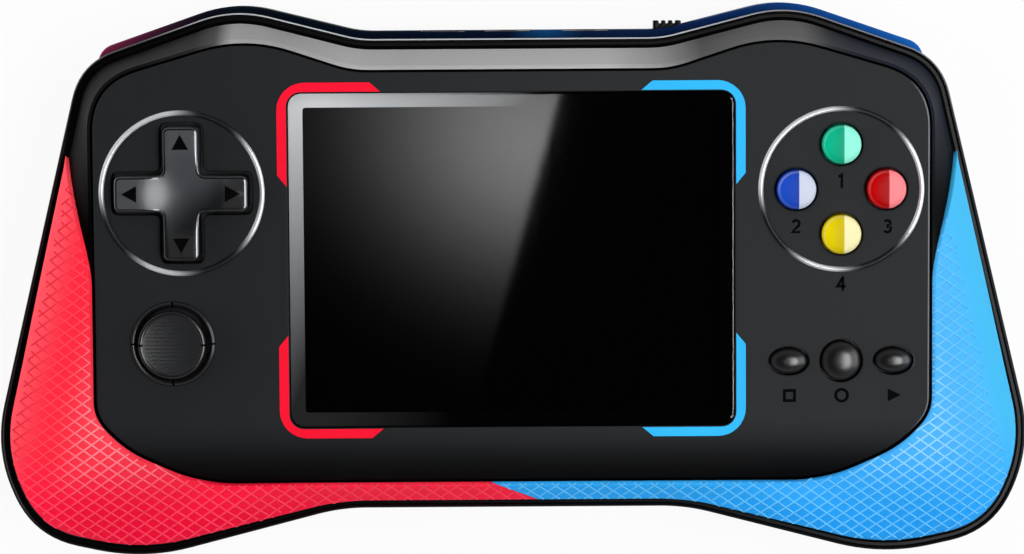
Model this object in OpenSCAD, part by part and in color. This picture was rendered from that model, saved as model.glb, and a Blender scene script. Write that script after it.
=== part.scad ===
// Handheld game console, lying on its back.
// +X points to the action buttons, +Y to the top edge and +Z out of the screen; z = 0 is the rear face.

/* [Case outline] */
// Height of the straight top edge above the middle of the case
top_y = 40.8; // [40:0.1:43]
// Distance from the middle of the controls in to the hump's corner
hump_in = 8.6; // [6:0.1:11]
// Rise of the hump's corner above the straight top edge
hump_rise = 5.4; // [4.4:0.1:6.4]
// Distance from the hump's corner in to the end of the straight top edge
hump_run = 21.2; // [19:0.1:23]
// Distance from the face plate's side out to the upper corner of the case
shoulder_out = 2.7; // [2:0.1:4]
// Drop of the upper corner below the straight top edge
shoulder_drop = 3.7; // [2.7:0.1:4.7]
// Distance from the face plate's side out to the widest point of the grip
side_out = 18.5; // [16:0.1:21]
// Height of the grip's widest point above the lower edge of the face plate
side_rise = 4.9; // [3:0.1:6.5]
// Distance from the face plate's side out to the end of the grip
grip_out = 11.9; // [10:0.1:14]
// Drop of the grip's end below the lower edge of the face plate
grip_drop = 10; // [8.5:0.1:11]
// Distance from the face plate's side in to the lower lobe of the grip
lobe_in = 6.9; // [4:0.1:10]
// Drop of the lower lobe below the lower edge of the face plate
lobe_drop = 14.1; // [13.2:0.1:16]
// Distance from the face plate's side in to the waist between the grips
waist_in = 40.9; // [38:0.1:44]
// Drop of the waist below the lower edge of the face plate
waist_drop = 5.3; // [4.8:0.1:7]

/* [Case] */
// Depth of the rear shell, from the rear face to the parting line
rear_depth = 14.4; // [13.6:0.1:18]
// Rise of the front, from the parting line to the top of the face plate
front_rise = 9.6; // [9.2:0.1:12]
// Height of the upright band of the front housing above the parting line
band_h = 2.6; // [2:0.1:3.2]
// Wall of the housing and the rear shell
wall = 1.8; // [1.4:0.1:2.2]
// Width of the rounded edge around the rear face
belly_w = 7; // [4:0.5:9]
// Height of the rounded edge around the rear face
belly_h = 8; // [5:0.5:8.5]
// How far the rear shell's top ledge stands out from the front housing
ledge_out = 1.6; // [1:0.1:2.2]
// How far the rear shell stands back from the front housing elsewhere
rear_back = 0.6; // [0.2:0.1:1.2]
// Thickness of the grip skins
grip_t = 0.8; // [0.5:0.1:1.2]
// Lean of the seam between the grips
seam_lean = 8; // [4:0.5:12]

/* [Face plate] */
// Distance from the top edge of the case to the face plate
plate_margin = 5; // [4.5:0.1:5.5]
// Distance from the lens down to the lower edge of the face plate
chin = 9.55; // [8.6:0.05:11]
// Thickness of the face plate
plate_t = 2; // [1.8:0.1:2.4]
// Drop of the rolled lower edge
plate_roll = 3.5; // [1:0.1:4]
// Width of the rolled lower edge
roll_run = 7; // [5:0.1:7]
// Groove between the face plate and the housing
plate_groove = 0.4; // [0.2:0.05:0.6]
// Width of the housing's seat under the face plate
seat_w = 1.6; // [1:0.1:1.8]

/* [Screen] */
// Width of the display's picture
picture_w = 70.1; // [68:0.1:71]
// Height of the display's picture
picture_h = 52.6; // [50:0.1:53]
// Border of the lens beside the picture
lens_border_x = 2.4; // [2:0.05:2.8]
// Border of the lens above and below the picture
lens_border_y = 1.85; // [1.5:0.05:2.2]
// Gap from the lens to the top of the face plate
lens_margin = 3.75; // [3:0.05:4.5]
// Thickness of the lens
lens_t = 1.1; // [0.8:0.05:1.2]
// Thickness of the display module
display_t = 3.3; // [2.4:0.1:3.8]
// Width of the coloured corner accents
accent_w = 1.9; // [1.2:0.1:2.4]
// Length of an accent's arm
accent_arm = 15.6; // [10:0.2:20]

/* [Controls] */
// Distance from the top of the face plate down to the middle of the direction pad and the action buttons
controls_drop = 20.3; // [18:0.1:22]
// Radius of the trim rings
ring_r = 13.9; // [13:0.1:15]
// Gap from the screen's accents to a trim ring
ring_gap = 2.15; // [1.5:0.05:3]
// Gap from a trim ring to the side of the face plate
ring_margin = 1; // [0.8:0.1:2.5]
// Width of a trim ring
ring_w = 0.75; // [0.5:0.05:1]
// Span of the direction pad
pad_span = 22.4; // [20:0.1:23]
// Width of the direction pad's arms
pad_arm = 6; // [5:0.1:7]
// Rise of the direction pad above the face plate
pad_rise = 2.2; // [1.6:0.1:3]
// Tilt of the direction pad each way, in degrees
pad_tilt = 4; // [2:0.5:5]
// Radius of the direction pad's pivot pins
pin_r = 0.7; // [0.6:0.05:0.9]
// Radius of the circle on which the action buttons lie
button_circle = 7.55; // [7:0.05:8]
// Radius of an action button
button_r = 3.4; // [2.8:0.05:3.6]
// Rise of an action button above the face plate
button_rise = 2; // [1.4:0.1:2.6]
// Travel of an action button
button_travel = 1.2; // [0.8:0.1:1.3]
// Distance from the action buttons down to the system buttons
system_drop = 29; // [27:0.1:31]
// Distance between the system buttons
system_pitch = 8.8; // [8.4:0.1:9.4]
// Radius of the round system button
system_r = 3.4; // [2.8:0.1:3.5]
// Width of the oval system buttons
oval_w = 6.4; // [5:0.1:6.8]
// Height of the oval system buttons
oval_h = 4.4; // [3.6:0.1:5]
// Rise of a system button above the face plate
system_rise = 1.3; // [1:0.1:2]
// Travel of a system button
system_travel = 0.8; // [0.5:0.1:1]

/* [Stick] */
// Distance of the stick outwards from the direction pad
stick_out = 1.8; // [0:0.1:2.5]
// Distance from the direction pad down to the stick
stick_drop = 25.4; // [24:0.1:27]
// Radius of the stick's cap
stick_r = 5.7; // [5:0.1:6]
// Radius of the collar around the stick
collar_r = 7.15; // [6.6:0.05:7.6]
// Width of the collar
collar_w = 0.9; // [0.6:0.05:1.2]
// Travel of the stick each way
stick_travel = 1.4; // [0.8:0.1:1.6]

/* [Ports] */
// Centre of the charging socket
usb_x = -11.5; // [-13:0.1:-10.5]
// Width of the charging socket
usb_w = 7.6; // [7:0.1:8.4]
// Height of the charging socket
usb_h = 3; // [2.4:0.1:4]
// Centre of the video jack
video_x = -0.5; // [-1:0.1:0.5]
// Centre of the headphone jack
phone_x = 12.8; // [11:0.1:14]
// Width of a jack's body
jack_w = 7.8; // [6.5:0.1:8.4]
// Height of a jack's body
jack_h = 5.2; // [4.8:0.1:5.4]
// Radius of a jack's bore
jack_bore_r = 1.8; // [1.3:0.05:1.9]
// Depth of a jack's bore
jack_bore_l = 12; // [9:0.5:13]
// Left end of the power knob
knob_x = 24.3; // [23:0.1:25]
// Width of the power knob
knob_w = 4.7; // [4:0.1:5.5]
// Height of the power knob
knob_h = 3; // [2.2:0.1:3.2]
// Travel of the power knob
knob_travel = 2; // [1.5:0.1:3]

/* [Inside] */
// Thickness of the main board
board_t = 1.6; // [1:0.1:1.6]
// Length of the battery
battery_l = 53; // [45:0.5:55]
// Width of the battery
battery_w = 34; // [30:0.5:36]
// Thickness of the battery
battery_t = 5.5; // [4:0.1:5.6]
// Radius of the loudspeaker
speaker_r = 10; // [7:0.5:11]
// Thickness of the loudspeaker
speaker_t = 4; // [3:0.1:5]

/* [Hidden] */
$fn = 48;

// Clearances: around a button in its hole, a turning pin, a fixed piece in its pocket, a sliding piece
// and a screw in its hole, and between a flange and the plate that holds it
slip = 0.15;
running = 0.06;
fit = 0.05;
slide_gap = 0.2;
screw_gap = 0.25;
seat_gap = 0.1;

// How far a cutting tool reaches past what it cuts
eps = 0.5;

// Steps in each fillet, extra points on each straight, and steps up a sloped surface
arc_n = 4;
mid_n = 3;
slope_n = 4;
belly_n = 5;
roll_n = 8;
per_corner = arc_n + 1 + mid_n;

// Levels, from the rear face up
floor_t = wall;
board_sink = 0.2;
board_inset = 1.5;
board_z = rear_depth - board_sink;
board_top = board_z + board_t;
band_top = rear_depth + band_h;
plate_top = rear_depth + front_rise;
plate_under = plate_top - plate_t;
boss_drop = 4;
boss_z = rear_depth - boss_drop;

// Screen: the display's picture, the lens over it and the lens's place in the plate
lens_w = picture_w + 2 * lens_border_x;
lens_h = picture_h + 2 * lens_border_y;
lens_r = 2.2;
lens_y = top_y - plate_margin - lens_margin - lens_h / 2;
lens_sink = 0.1;
frame_t = 0.2;
frame_lap = 0.5;
lens_seat = plate_top - lens_sink - lens_t - frame_t;
window_lap_x = 1.6;
window_lap_y = 0.6;
window_w = picture_w + window_lap_x;
window_h = picture_h + window_lap_y;
window_r = 1;
display_margin = 3;
display_r = 1;
ribbon_w = 22;
ribbon_t = 0.3;
ribbon_foot = 6;
accent_t = 0.6;
accent_mitre = 1.2;
accent_gap = 0.3;
accent_r = lens_r + accent_w + 2 * accent_gap;

// Places of the controls beside the screen, and of the face plate's edges around both
controls_x = lens_w / 2 + accent_w + ring_gap + ring_r;
controls_y = top_y - plate_margin - controls_drop;
plate_x = controls_x + ring_r + ring_margin;
plate_low = lens_y - lens_h / 2 - chin;
system_y = controls_y - system_drop;
stick_x = -controls_x - stick_out;
stick_y = controls_y - stick_drop;

// Corners of the case outline, right half from the top: x, y and fillet length
hump_x = controls_x - hump_in;
top_x = hump_x - hump_run;
hump_y = top_y + hump_rise;
waist_x = plate_x - waist_in;
waist_y = plate_low - waist_drop;
rim_right = [
    [top_x, top_y, 2.5], [hump_x, hump_y, 6.2],
    [plate_x + shoulder_out, top_y - shoulder_drop, 6.1], [plate_x + side_out, plate_low + side_rise, 8.2],
    [plate_x + grip_out, plate_low - grip_drop, 7.6], [plate_x - lobe_in, plate_low - lobe_drop, 8.3],
    [waist_x, waist_y, 4.3]];

// Corners of the rear shell: out along the top ledge, back from the housing elsewhere
ledge_end = [-2.2, ledge_out + 0.8, -3];
rear_right = [
    rim_right[0] + [0, ledge_out, 0], rim_right[1] + [0, ledge_out, 0], rim_right[2] + ledge_end,
    rim_right[3] + [-rear_back, 0, -rear_back], rim_right[4] + [-rear_back, rear_back, -rear_back],
    rim_right[5] + [0, rear_back, 0], rim_right[6] + [0, rear_back, 0]];

// Corners of the face plate: along the top edge, upright sides and lower corners cut with a knee
cut_rise = 11.6;
cut_run = 17.7;
knee_in = 4.9;
knee_drop = 5.3;
notch_out = 1.3;
hump_shift = 2.4;
hump_lift = 0.3;
shoulder_lift = 1.6;
plate_side = [plate_x, plate_low + cut_rise];
plate_knee = plate_side - [knee_in, knee_drop];
plate_foot = [plate_x - cut_run, plate_low];
plate_notch = [top_x + notch_out, top_y - plate_margin];
plate_hump = [hump_x - hump_shift, hump_y - plate_margin + hump_lift];
plate_shoulder = [plate_x, top_y - shoulder_drop - plate_margin + shoulder_lift];
plate_right = [
    [each plate_notch, 3.1], [each plate_hump, 8], [each plate_shoulder, 7.9], [each plate_side, 2.6],
    [each plate_knee, 4.1], [each plate_foot, 5.9], [waist_x, plate_low, 6]];

// Buttons: their flanges and crowns, and where the rubber domes end under them
skirt = 0.9;
oval_skirt = 0.7;
crown = 0.5;
membrane_t = 0.8;
membrane_rim = 2;
dome_h = 1.2;
dome_r = 2.2;
small_dome_r = 1.75;
dome_top = board_top + membrane_t + dome_h;

// Direction pad: its flange hangs clear of the plate when tilted both ways, over a cross pin on a post
pad_gap = 0.6;
pad_soft = 1.2;
tilt_gap = 0.25;
pad_lean = pad_tilt * sqrt(2);
flange_r = pad_span / 2 + 0.8;
flange_t = 0.9;
flange_z = plate_under - flange_r * sin(pad_lean) - tilt_gap - flange_t;
ear_r = pin_r + 0.4;
ear_in = 2.4;
ear_t = 1.2;
ear_out = ear_in + ear_t;
post_t = 0.4;
pivot_z = flange_z - ear_r - ear_out * sin(pad_lean) - tilt_gap;
pad_dome_r = 8.6;
pad_dome_top = flange_z - (pad_dome_r + dome_r) * sin(pad_lean) - tilt_gap;

// Trim rings
ring_sink = 0.4;
ring_rise = 0.3;
ring_bevel = 0.2;

// Stick: a foot in a carriage that slides in a base
stick_foot = 4;
stick_flange = 5.6;
stick_flange_t = 0.8;
stick_cap_t = 2;
stick_lip = 0.3;
stick_dish = 0.6;
stick_lift = 0.8;
stick_post_r = 1.6;
stick_box = 15;
stick_box_wall = 1;
stick_roof = 0.8;
stick_cavity = stick_box - 2 * stick_box_wall;
carriage_z = board_top + stick_box_wall;
carriage_t = 2;
carriage_top = carriage_z + carriage_t;
stick_box_top = carriage_top + seat_gap + stick_flange_t + slide_gap + stick_roof;
collar_sink = 1;
collar_rise = 0.5;

// Screws
screw_r = 1.1;
screw_head_r = 1.9;
screw_head_t = 1.3;
screw_web = 3.6;
screw_seat = boss_z - screw_web;
screw_tip = 1;
small_r = 0.8;
small_head_r = 1.5;
small_head_t = 0.8;
boss_r = 2.6;
boss_top = 0.3;
boss_wall = 1.5;
boss_gap = 0.4;
small_boss_r = 1.8;
hump_boss_drop = 7;
foot_boss_rise = 5.3;
corner_boss_out = 1.2;
corner_boss_rise = 7;
waist_boss_in = 5.4;
case_bosses = [
    plate_hump - [0, hump_boss_drop], plate_foot + [corner_boss_out, corner_boss_rise],
    [waist_x - waist_boss_in, plate_low + foot_boss_rise]];
board_boss_gap = 1.2;
board_boss_x = picture_w / 2 + display_margin + small_boss_r + board_boss_gap;
board_bosses = [for (s = [-1, 1]) [board_boss_x, lens_y + s * picture_h / 2]];

// Chips on the board under the display: place from the lens's centre, width and length
chips = [[-8, 4, 14, 14], [10, 6, 9, 12], [10, -10, 10, 8]];
chip_t = 1;

// Battery bay
bay_gap = 0.5;
bay_room = 1.1;
door_margin = 7;
door_lip = 2.6;
door_sink = 0.3;
door_l = battery_l + 2 * door_margin;
door_w = battery_w + 2 * door_lip;
door_r = 3;
door_screw_x = battery_l / 2 + 4;
battery_r = 2;
bay_r = 0.5;
tray_wall = 1.2;
tray_r = 1;
tray_flange = 2.4;
tray_flange_t = 1;
boss_reach = screw_head_r + boss_wall;
bay_y = plate_low + foot_boss_rise + boss_reach + bay_room + door_w / 2 + tray_flange;
tray_boss_r = 2.2;
tray_boss_h = 3;
contact_w = 2;
contact_h = 3;
contact_z = floor_t + 1.4;
contact_pitch = 6;

// Ports in the top edge
port_face = top_y + ledge_out;
port_gap = 0.2;
port_room = 4;
jack_back = 1;
jack_l = jack_bore_l + jack_back;
usb_l = 9;
usb_wall = 0.4;
usb_r = 0.8;
knob_sink = 0.9;
knob_y = port_face - knob_sink;
knob_l = 1.7;
knob_rib = 0.5;
neck_w = 2;
neck_h = 1.4;
neck_x = knob_x + (knob_w - neck_w) / 2;
neck_l = 1.6;
switch_l = 6;
switch_h = 3.6;
switch_margin = 1;
switch_y = plate_notch.y - neck_l;
switch_face = switch_y + switch_l;
knob_z = board_z - switch_h / 2;

// Loudspeaker and its holes in the rear face
speaker_drop = 5;
speaker_y = controls_y - speaker_drop;
speaker_rim_t = 1.6;
speaker_core_r = speaker_r - 3;
speaker_hole_r = 0.8;
speaker_pitch = 3.4;

function unit(v) = v / norm(v);
function lerp(a, b, f) = a + (b - a) * f;
function flat(p) = [p.x, p.y];
function right_of(d) = [d.y, -d.x];
function wrap(list, i) = list[(i + len(list)) % len(list)];
function between(list, u) = let (i = floor(u)) lerp(list[i], wrap(list, i + 1), u - i);

// All corners, clockwise from the top, of an outline given by its right half
function whole(right) = concat(
    right,
    [for (i = [len(right) - 1:-1:0]) [-right[i].x, right[i].y, right[i].z]]);

// Corners moved inwards by d, with their fillets shortened or lengthened to match, down to a share
least_fillet = 0.5;
function inset(corners, d) = [
    for (i = [0:len(corners) - 1])
        let (p = flat(corners[i]),
             into = unit(p - flat(wrap(corners, i - 1))),
             away = unit(flat(wrap(corners, i + 1)) - p),
             turn = atan2(cross(away, into), into * away),
             moved = p + (right_of(into) + right_of(away)) * d / (1 + into * away))
            [moved.x, moved.y, max(least_fillet * corners[i].z, corners[i].z - d * tan(turn / 2))]];

// Points of an outline: a parabolic fillet at each corner and a few points on each straight
function outline(corners) = [
    for (i = [0:len(corners) - 1])
        let (p = flat(corners[i]),
             next = wrap(corners, i + 1),
             back = unit(flat(wrap(corners, i - 1)) - p),
             ahead = unit(flat(next) - p),
             first = p + back * corners[i].z,
             last = p + ahead * corners[i].z,
             next_first = flat(next) - ahead * next.z)
            each concat(
                [for (k = [0:arc_n]) lerp(lerp(first, p, k / arc_n), lerp(p, last, k / arc_n), k / arc_n)],
                [for (k = [1:1:mid_n]) lerp(last, next_first, k / (mid_n + 1))])];

function rim(d) = outline(inset(whole(rim_right), d));
function rear(d) = outline(inset(whole(rear_right), d));
function plate(d) = outline(inset(whole(plate_right), d));
function lifted(points, z) = [for (p = points) [p.x, p.y, z]];

// Top of the face plate at a height y, and rings that follow it at a depth below
function plate_z(y) = plate_top - plate_roll * min(1, max(0, plate_low + roll_run - y) / roll_run) ^ 2;
function followed(points, depth) = [for (p = points) [p.x, p.y, plate_z(p.y) - depth]];

// The sloped front of the housing, from the channel inside its rim (v = 0) to the lip at the plate (v = 1)
lip_w = 0.5;
lip_drop = 0.4;
rim_w = 0.5;
rim_crown = 0.2;
channel_w = 0.5;
channel_d = 0.3;
chamfer = 0.2;
under_drop = 1;
swell_most = 0.25;
swell_from = 4;
swell_run = 24;
slope_in = rim_w + channel_w + 2 * chamfer;
slope_low = lifted(rim(slope_in), band_top + channel_d);
slope_high = followed(plate(-plate_groove - lip_w), lip_drop);
function swell(low, high) =
    min(swell_most, max(0, norm(flat(high) - flat(low)) - swell_from) / swell_run);
function slope_point(low, high, v) =
    lerp(low, high, v) + [0, 0, (high.z - low.z) * swell(low, high) * sin(180 * v)];
function slope_ring(v) = [for (i = [0:len(slope_low) - 1]) slope_point(slope_low[i], slope_high[i], v)];
function slope_normal(low, high, v) =
    let (run = flat(high) - flat(low),
         climb = (high.z - low.z) * (1 + swell(low, high) * PI * cos(180 * v)))
    unit([-climb * unit(run).x, -climb * unit(run).y, norm(run)]);

function strip_faces(a, b, n) = [
    for (i = [0:n - 1])
        let (j = (i + 1) % n)
            each [[a + i, a + j, b + j], [a + i, b + j, b + i]]];

// A closed band through rings of equal length
module band(rings) {
    n = len(rings[0]);
    m = len(rings);
    polyhedron(
        points = [for (r = rings) each r],
        faces = [for (k = [0:m - 1]) each strip_faces(k * n, ((k + 1) % m) * n, n)]);
}

// A bowl through rings from the underside, over the edge and down to the inner floor, both fanned
// out from above the middle of the battery bay
module bowl(rings) {
    n = len(rings[0]);
    m = len(rings);
    under = m * n;
    inner = under + 1;
    middles = [for (r = [rings[0], rings[m - 1]]) [0, bay_y, r[0].z]];
    polyhedron(
        points = concat([for (r = rings) each r], middles),
        faces = concat(
            [for (k = [0:m - 2]) each strip_faces(k * n, (k + 1) * n, n)],
            [for (i = [0:n - 1]) [under, (i + 1) % n, i]],
            [for (i = [0:n - 1]) [inner, (m - 1) * n + i, (m - 1) * n + (i + 1) % n]]));
}

// A bar through closed sections, each of the underside's points and then the top's points back
module bar(sections) {
    n = len(sections[0]);
    m = len(sections);
    half = n / 2;
    end = (m - 1) * n;
    polyhedron(
        points = [for (s = sections) each s],
        faces = concat(
            [for (k = [0:m - 2]) each strip_faces(k * n, (k + 1) * n, n)],
            [for (j = [0:half - 2])
                each [[n - 1 - j, n - 2 - j, j + 1], [n - 1 - j, j + 1, j]]],
            [for (j = [0:half - 2])
                let (a = end + j, b = end + n - 1 - j)
                    each [[a, a + 1, b - 1], [a, b - 1, b]]]));
}

module slab(points, low, high) {
    translate([0, 0, low])
        linear_extrude(high - low)
            polygon(points);
}

module disc(r, low, high) {
    translate([0, 0, low])
        cylinder(r = r, h = high - low);
}

module block(w, l, low, high) {
    translate([-w / 2, -l / 2, low])
        cube([w, l, high - low]);
}

module rounded(w, l, r) {
    square([w - 2 * r, l], center = true);
    square([w, l - 2 * r], center = true);
    for (x = [-1, 1], y = [-1, 1])
        translate([x * (w / 2 - r), y * (l / 2 - r)])
            circle(r = r);
}

module panel(w, l, r, low, high) {
    translate([0, 0, low])
        linear_extrude(high - low)
            rounded(w, l, r);
}

module both_sides() {
    children();
    mirror([1, 0, 0])
        children();
}

module at_points(points) {
    both_sides()
        for (p = points)
            translate(p)
                children();
}

module tube(r, hole, low, high) {
    difference() {
        disc(r, low, high);
        disc(hole, low - eps, high + eps);
    }
}

module screw(shank, head, head_t, seat, tip) {
    disc(head, seat - head_t, seat);
    disc(shank, seat - fit, tip);
}

// Case

module front_housing() {
    color("#1b1c1e")
        band(concat(
            [lifted(rim(0), rear_depth),
             lifted(rim(0), band_top),
             lifted(rim(rim_w), band_top + rim_crown),
             lifted(rim(rim_w + chamfer), band_top - channel_d),
             lifted(rim(rim_w + chamfer + channel_w), band_top - channel_d)],
            [for (k = [0:slope_n]) slope_ring(k / slope_n)],
            [followed(plate(-plate_groove), lip_drop),
             followed(plate(-plate_groove), plate_t + seat_gap),
             followed(plate(seat_w), plate_t + seat_gap),
             followed(plate(seat_w), plate_t + wall - chamfer),
             lifted(rim(wall + slope_in - chamfer), band_top - under_drop),
             lifted(rim(wall + lip_drop), rear_depth)]));
}

// A grip skin on the sloped front, from its tip on the side down to the seam in the waist
grip_start = 0.2;
grip_whole = 0.56;
grip_tip = 2 * per_corner + arc_n + grip_start * (mid_n + 1);
grip_full = 2 * per_corner + arc_n + grip_whole * (mid_n + 1);
grip_side = 3 * per_corner;
grip_last = 6 * per_corner + arc_n;
grip_taper_n = 6;
grip_across_n = 5;
grip_low_v = 0.03;
grip_high_v = 0.97;
grip_tip_v = 0.15;

function grip_edge(u) =
    lerp(grip_tip_v, grip_high_v, min(1, max(0, u - grip_tip) / (grip_full - grip_tip)));
function grip_section(low, high, edge) =
    let (vs = [for (k = [0:grip_across_n]) lerp(grip_low_v, edge, k / grip_across_n)],
         under = [for (v = vs) slope_point(low, high, v) + slope_normal(low, high, v) * seat_gap],
         over = [for (k = [grip_across_n:-1:0]) under[k] + slope_normal(low, high, vs[k]) * grip_t])
    concat(under, over);
function grip_seam(lean, gap) =
    let (low = slope_low[grip_last],
         high = slope_high[grip_last],
         section = grip_section(low, high, grip_high_v))
    [for (p = section)
        let (v = (p.y - low.y) / (high.y - low.y))
            [gap / 2 + lean * (0.5 - v), p.y, p.z]];

module grip(lean) {
    bar(concat(
        [for (k = [0:grip_taper_n - 1])
            let (u = lerp(grip_tip, grip_side, k / grip_taper_n))
                grip_section(between(slope_low, u), between(slope_high, u), grip_edge(u))],
        [for (i = [grip_side:grip_last]) grip_section(slope_low[i], slope_high[i], grip_high_v)],
        [grip_seam(lean, seat_gap)]));
}

module left_grip() {
    color("#e8103a")
        mirror([1, 0, 0])
            grip(-seam_lean);
}

module right_grip() {
    color("#1f8fe0")
        grip(seam_lean);
}

module rear_walls() {
    turn = 90 / belly_n;
    bowl(concat(
        [for (a = [0:turn:90]) lifted(rear(belly_w * (1 - sin(a))), belly_h * (1 - cos(a)))],
        [lifted(rear(0), rear_depth), lifted(rear(wall), rear_depth)],
        [for (a = [90:-turn:0])
            lifted(rear(wall + belly_w * (1 - sin(a))), lerp(belly_h, floor_t, cos(a)))]));
}

module port_notch(x, w, h) {
    translate([x - w / 2 - port_gap, port_face - wall - eps, board_z - h - port_gap])
        cube([w + 2 * port_gap, wall + port_room, h + port_gap + board_sink + eps]);
}

module knob_slot() {
    room_h = knob_h + 2 * slide_gap;
    slot_h = neck_h + 2 * slide_gap;
    translate([knob_x - slide_gap, knob_y - slide_gap, knob_z - room_h / 2])
        cube([knob_w + knob_travel + 2 * slide_gap, wall + port_room, room_h]);
    translate([neck_x - slide_gap, knob_y - 2 * wall, knob_z - slot_h / 2])
        cube([neck_w + knob_travel + 2 * slide_gap, 2 * wall + eps, slot_h]);
}

module speaker_place() {
    translate([-controls_x, speaker_y])
        children();
}

module speaker_holes() {
    speaker_place() {
        disc(speaker_hole_r, -eps, floor_t + eps);
        for (ring = [1, 2], k = [0:6 * ring - 1])
            rotate(60 / ring * k)
                translate([speaker_pitch * ring, 0])
                    disc(speaker_hole_r, -eps, floor_t + eps);
    }
}

module rear_shell() {
    color("#20263f")
        difference() {
            union() {
                rear_walls();
                at_points(case_bosses)
                    disc(boss_reach, floor_t - fit, boss_z);
            }
            at_points(case_bosses) {
                disc(screw_head_r + screw_gap, -eps, screw_seat);
                disc(screw_r + screw_gap, -eps, boss_z + eps);
            }
            translate([0, bay_y])
                panel(door_l + 2 * slip, door_w + 2 * slip, door_r, -eps, floor_t + eps);
            port_notch(usb_x, usb_w, usb_h);
            port_notch(video_x, jack_w, jack_h);
            port_notch(phone_x, jack_w, jack_h);
            knob_slot();
            speaker_holes();
        }
}

module case_screws() {
    color("#8b8f94")
        at_points(case_bosses)
            screw(screw_r, screw_head_r, screw_head_t, screw_seat, plate_under - 2 * screw_tip);
}

module roll_profile() {
    far = hump_y;
    low = waist_y;
    upper = [for (k = [0:roll_n]) let (y = plate_low + roll_run * k / roll_n) [y, plate_z(y)]];
    lower = [for (k = [roll_n:-1:0]) upper[k] - [0, plate_t]];
    rotate([90, 0, 90])
        linear_extrude(4 * plate_x, center = true)
            polygon(concat(
                [[low, plate_z(low)]], upper, [[far, plate_top], [far, plate_under]],
                lower, [[low, plate_z(low) - plate_t]]));
}

module pad_cross(grow) {
    a = pad_span / 2 + grow;
    b = pad_arm / 2 + grow;
    quarter = [[b, a, pad_soft], [b, b, pad_soft], [a, b, pad_soft]];
    right = concat(quarter, [for (k = [2:-1:0]) [quarter[k].x, -quarter[k].y, pad_soft]]);
    polygon(outline(whole(right)));
}

module oval(grow) {
    polygon([for (a = [0:10:350]) [(oval_w / 2 + grow) * cos(a), (oval_h / 2 + grow) * sin(a)]]);
}

module at_action() {
    for (a = [0:90:270])
        rotate(a)
            translate([button_circle, 0])
                children();
}

module plate_cuts() {
    top = plate_top + eps;
    translate([0, lens_y]) {
        panel(lens_w + 2 * fit, lens_h + 2 * fit, lens_r, lens_seat, top);
        panel(window_w, window_h, window_r, plate_under - eps, top);
        translate([0, 0, plate_top - accent_t])
            linear_extrude(accent_t + eps)
                both_sides()
                    accent_pair(fit);
    }
    translate([-controls_x, controls_y]) {
        ring_groove();
        translate([0, 0, plate_under - eps])
            linear_extrude(plate_t + 2 * eps)
                pad_cross(pad_gap);
    }
    translate([controls_x, controls_y]) {
        ring_groove();
        at_action()
            disc(button_r + slip, plate_under - eps, top);
    }
    translate([controls_x, system_y]) {
        disc(system_r + slip, plate_under - eps, top);
        both_sides()
            translate([system_pitch, 0, plate_under - eps])
                linear_extrude(plate_t + 2 * eps)
                    oval(slip);
    }
    translate([stick_x, stick_y]) {
        disc(collar_r - collar_w, plate_under - eps, top);
        disc(collar_r + fit, plate_top - collar_sink, top);
    }
}

module ring_groove() {
    difference() {
        disc(ring_r + fit, plate_top - ring_sink, plate_top + eps);
        disc(ring_r - ring_w - fit, plate_top - ring_sink - eps, plate_top + 2 * eps);
    }
}

module face_plate() {
    color("#2a2c2f")
        difference() {
            union() {
                intersection() {
                    slab(plate(0), rear_depth, plate_top + eps);
                    roll_profile();
                }
                at_points(case_bosses)
                    disc(boss_r, boss_z, plate_under + boss_top);
                at_points(board_bosses)
                    disc(small_boss_r, board_top, plate_under + boss_top);
            }
            plate_cuts();
            at_points(case_bosses)
                disc(screw_r + fit, boss_z - eps, plate_under - screw_tip);
            at_points(board_bosses)
                disc(small_r + fit, board_top - eps, plate_under - screw_tip);
        }
}

// Screen

module screen_lens() {
    color("#101214", 0.5)
        translate([0, lens_y])
            panel(lens_w, lens_h, lens_r, lens_seat + frame_t, lens_seat + frame_t + lens_t);
}

module screen_frame() {
    color("#b9bcc0")
        translate([0, lens_y])
            difference() {
                panel(lens_w, lens_h, lens_r, lens_seat, lens_seat + frame_t);
                panel(picture_w, picture_h - 2 * frame_lap, frame_lap, lens_seat - eps, lens_seat + eps);
            }
}

// The two brackets at the right-hand corners of the lens, about the lens's centre
module accent_pair(grow) {
    w = lens_w / 2 + accent_w;
    h = lens_h / 2 + accent_w;
    arm = accent_arm + grow;
    inner = accent_w + 1;
    over = 1;
    corner = [
        [w - arm + accent_mitre * over, h + over], [w + over, h + over],
        [w + over, h - arm + accent_mitre * over],
        [w - inner, h - arm - accent_mitre * inner], [w - arm - accent_mitre * inner, h - inner]];
    intersection() {
        difference() {
            rounded(2 * (w + grow), 2 * (h + grow), accent_r);
            rounded(lens_w + 2 * (accent_gap - grow), lens_h + 2 * (accent_gap - grow), lens_r);
        }
        union() {
            polygon(corner);
            mirror([0, 1])
                polygon(corner);
        }
    }
}

module accents() {
    translate([0, lens_y, plate_top - accent_t])
        linear_extrude(accent_t + fit)
            accent_pair(0);
}

module red_accents() {
    color("#e0102a")
        mirror([1, 0, 0])
            accents();
}

module blue_accents() {
    color("#0a8fc0")
        accents();
}

module display_module() {
    color("#3c4046")
        translate([0, lens_y])
            panel(picture_w + 2 * display_margin, picture_h + 2 * display_margin, display_r,
                  plate_under - display_t, plate_under);
}

// A flexible strip from the display's lower edge, bent under to the board
module display_ribbon() {
    edge = lens_y - picture_h / 2 - display_margin;
    high = plate_under - display_t / 2;
    color("#b5762a")
        rotate([90, 0, 90])
            linear_extrude(ribbon_w, center = true)
                polygon([
                    [edge, high], [edge - ribbon_t, high], [edge - ribbon_t, board_top],
                    [edge + ribbon_foot, board_top], [edge + ribbon_foot, board_top + ribbon_t],
                    [edge, board_top + ribbon_t]]);
}

// Controls

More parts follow.
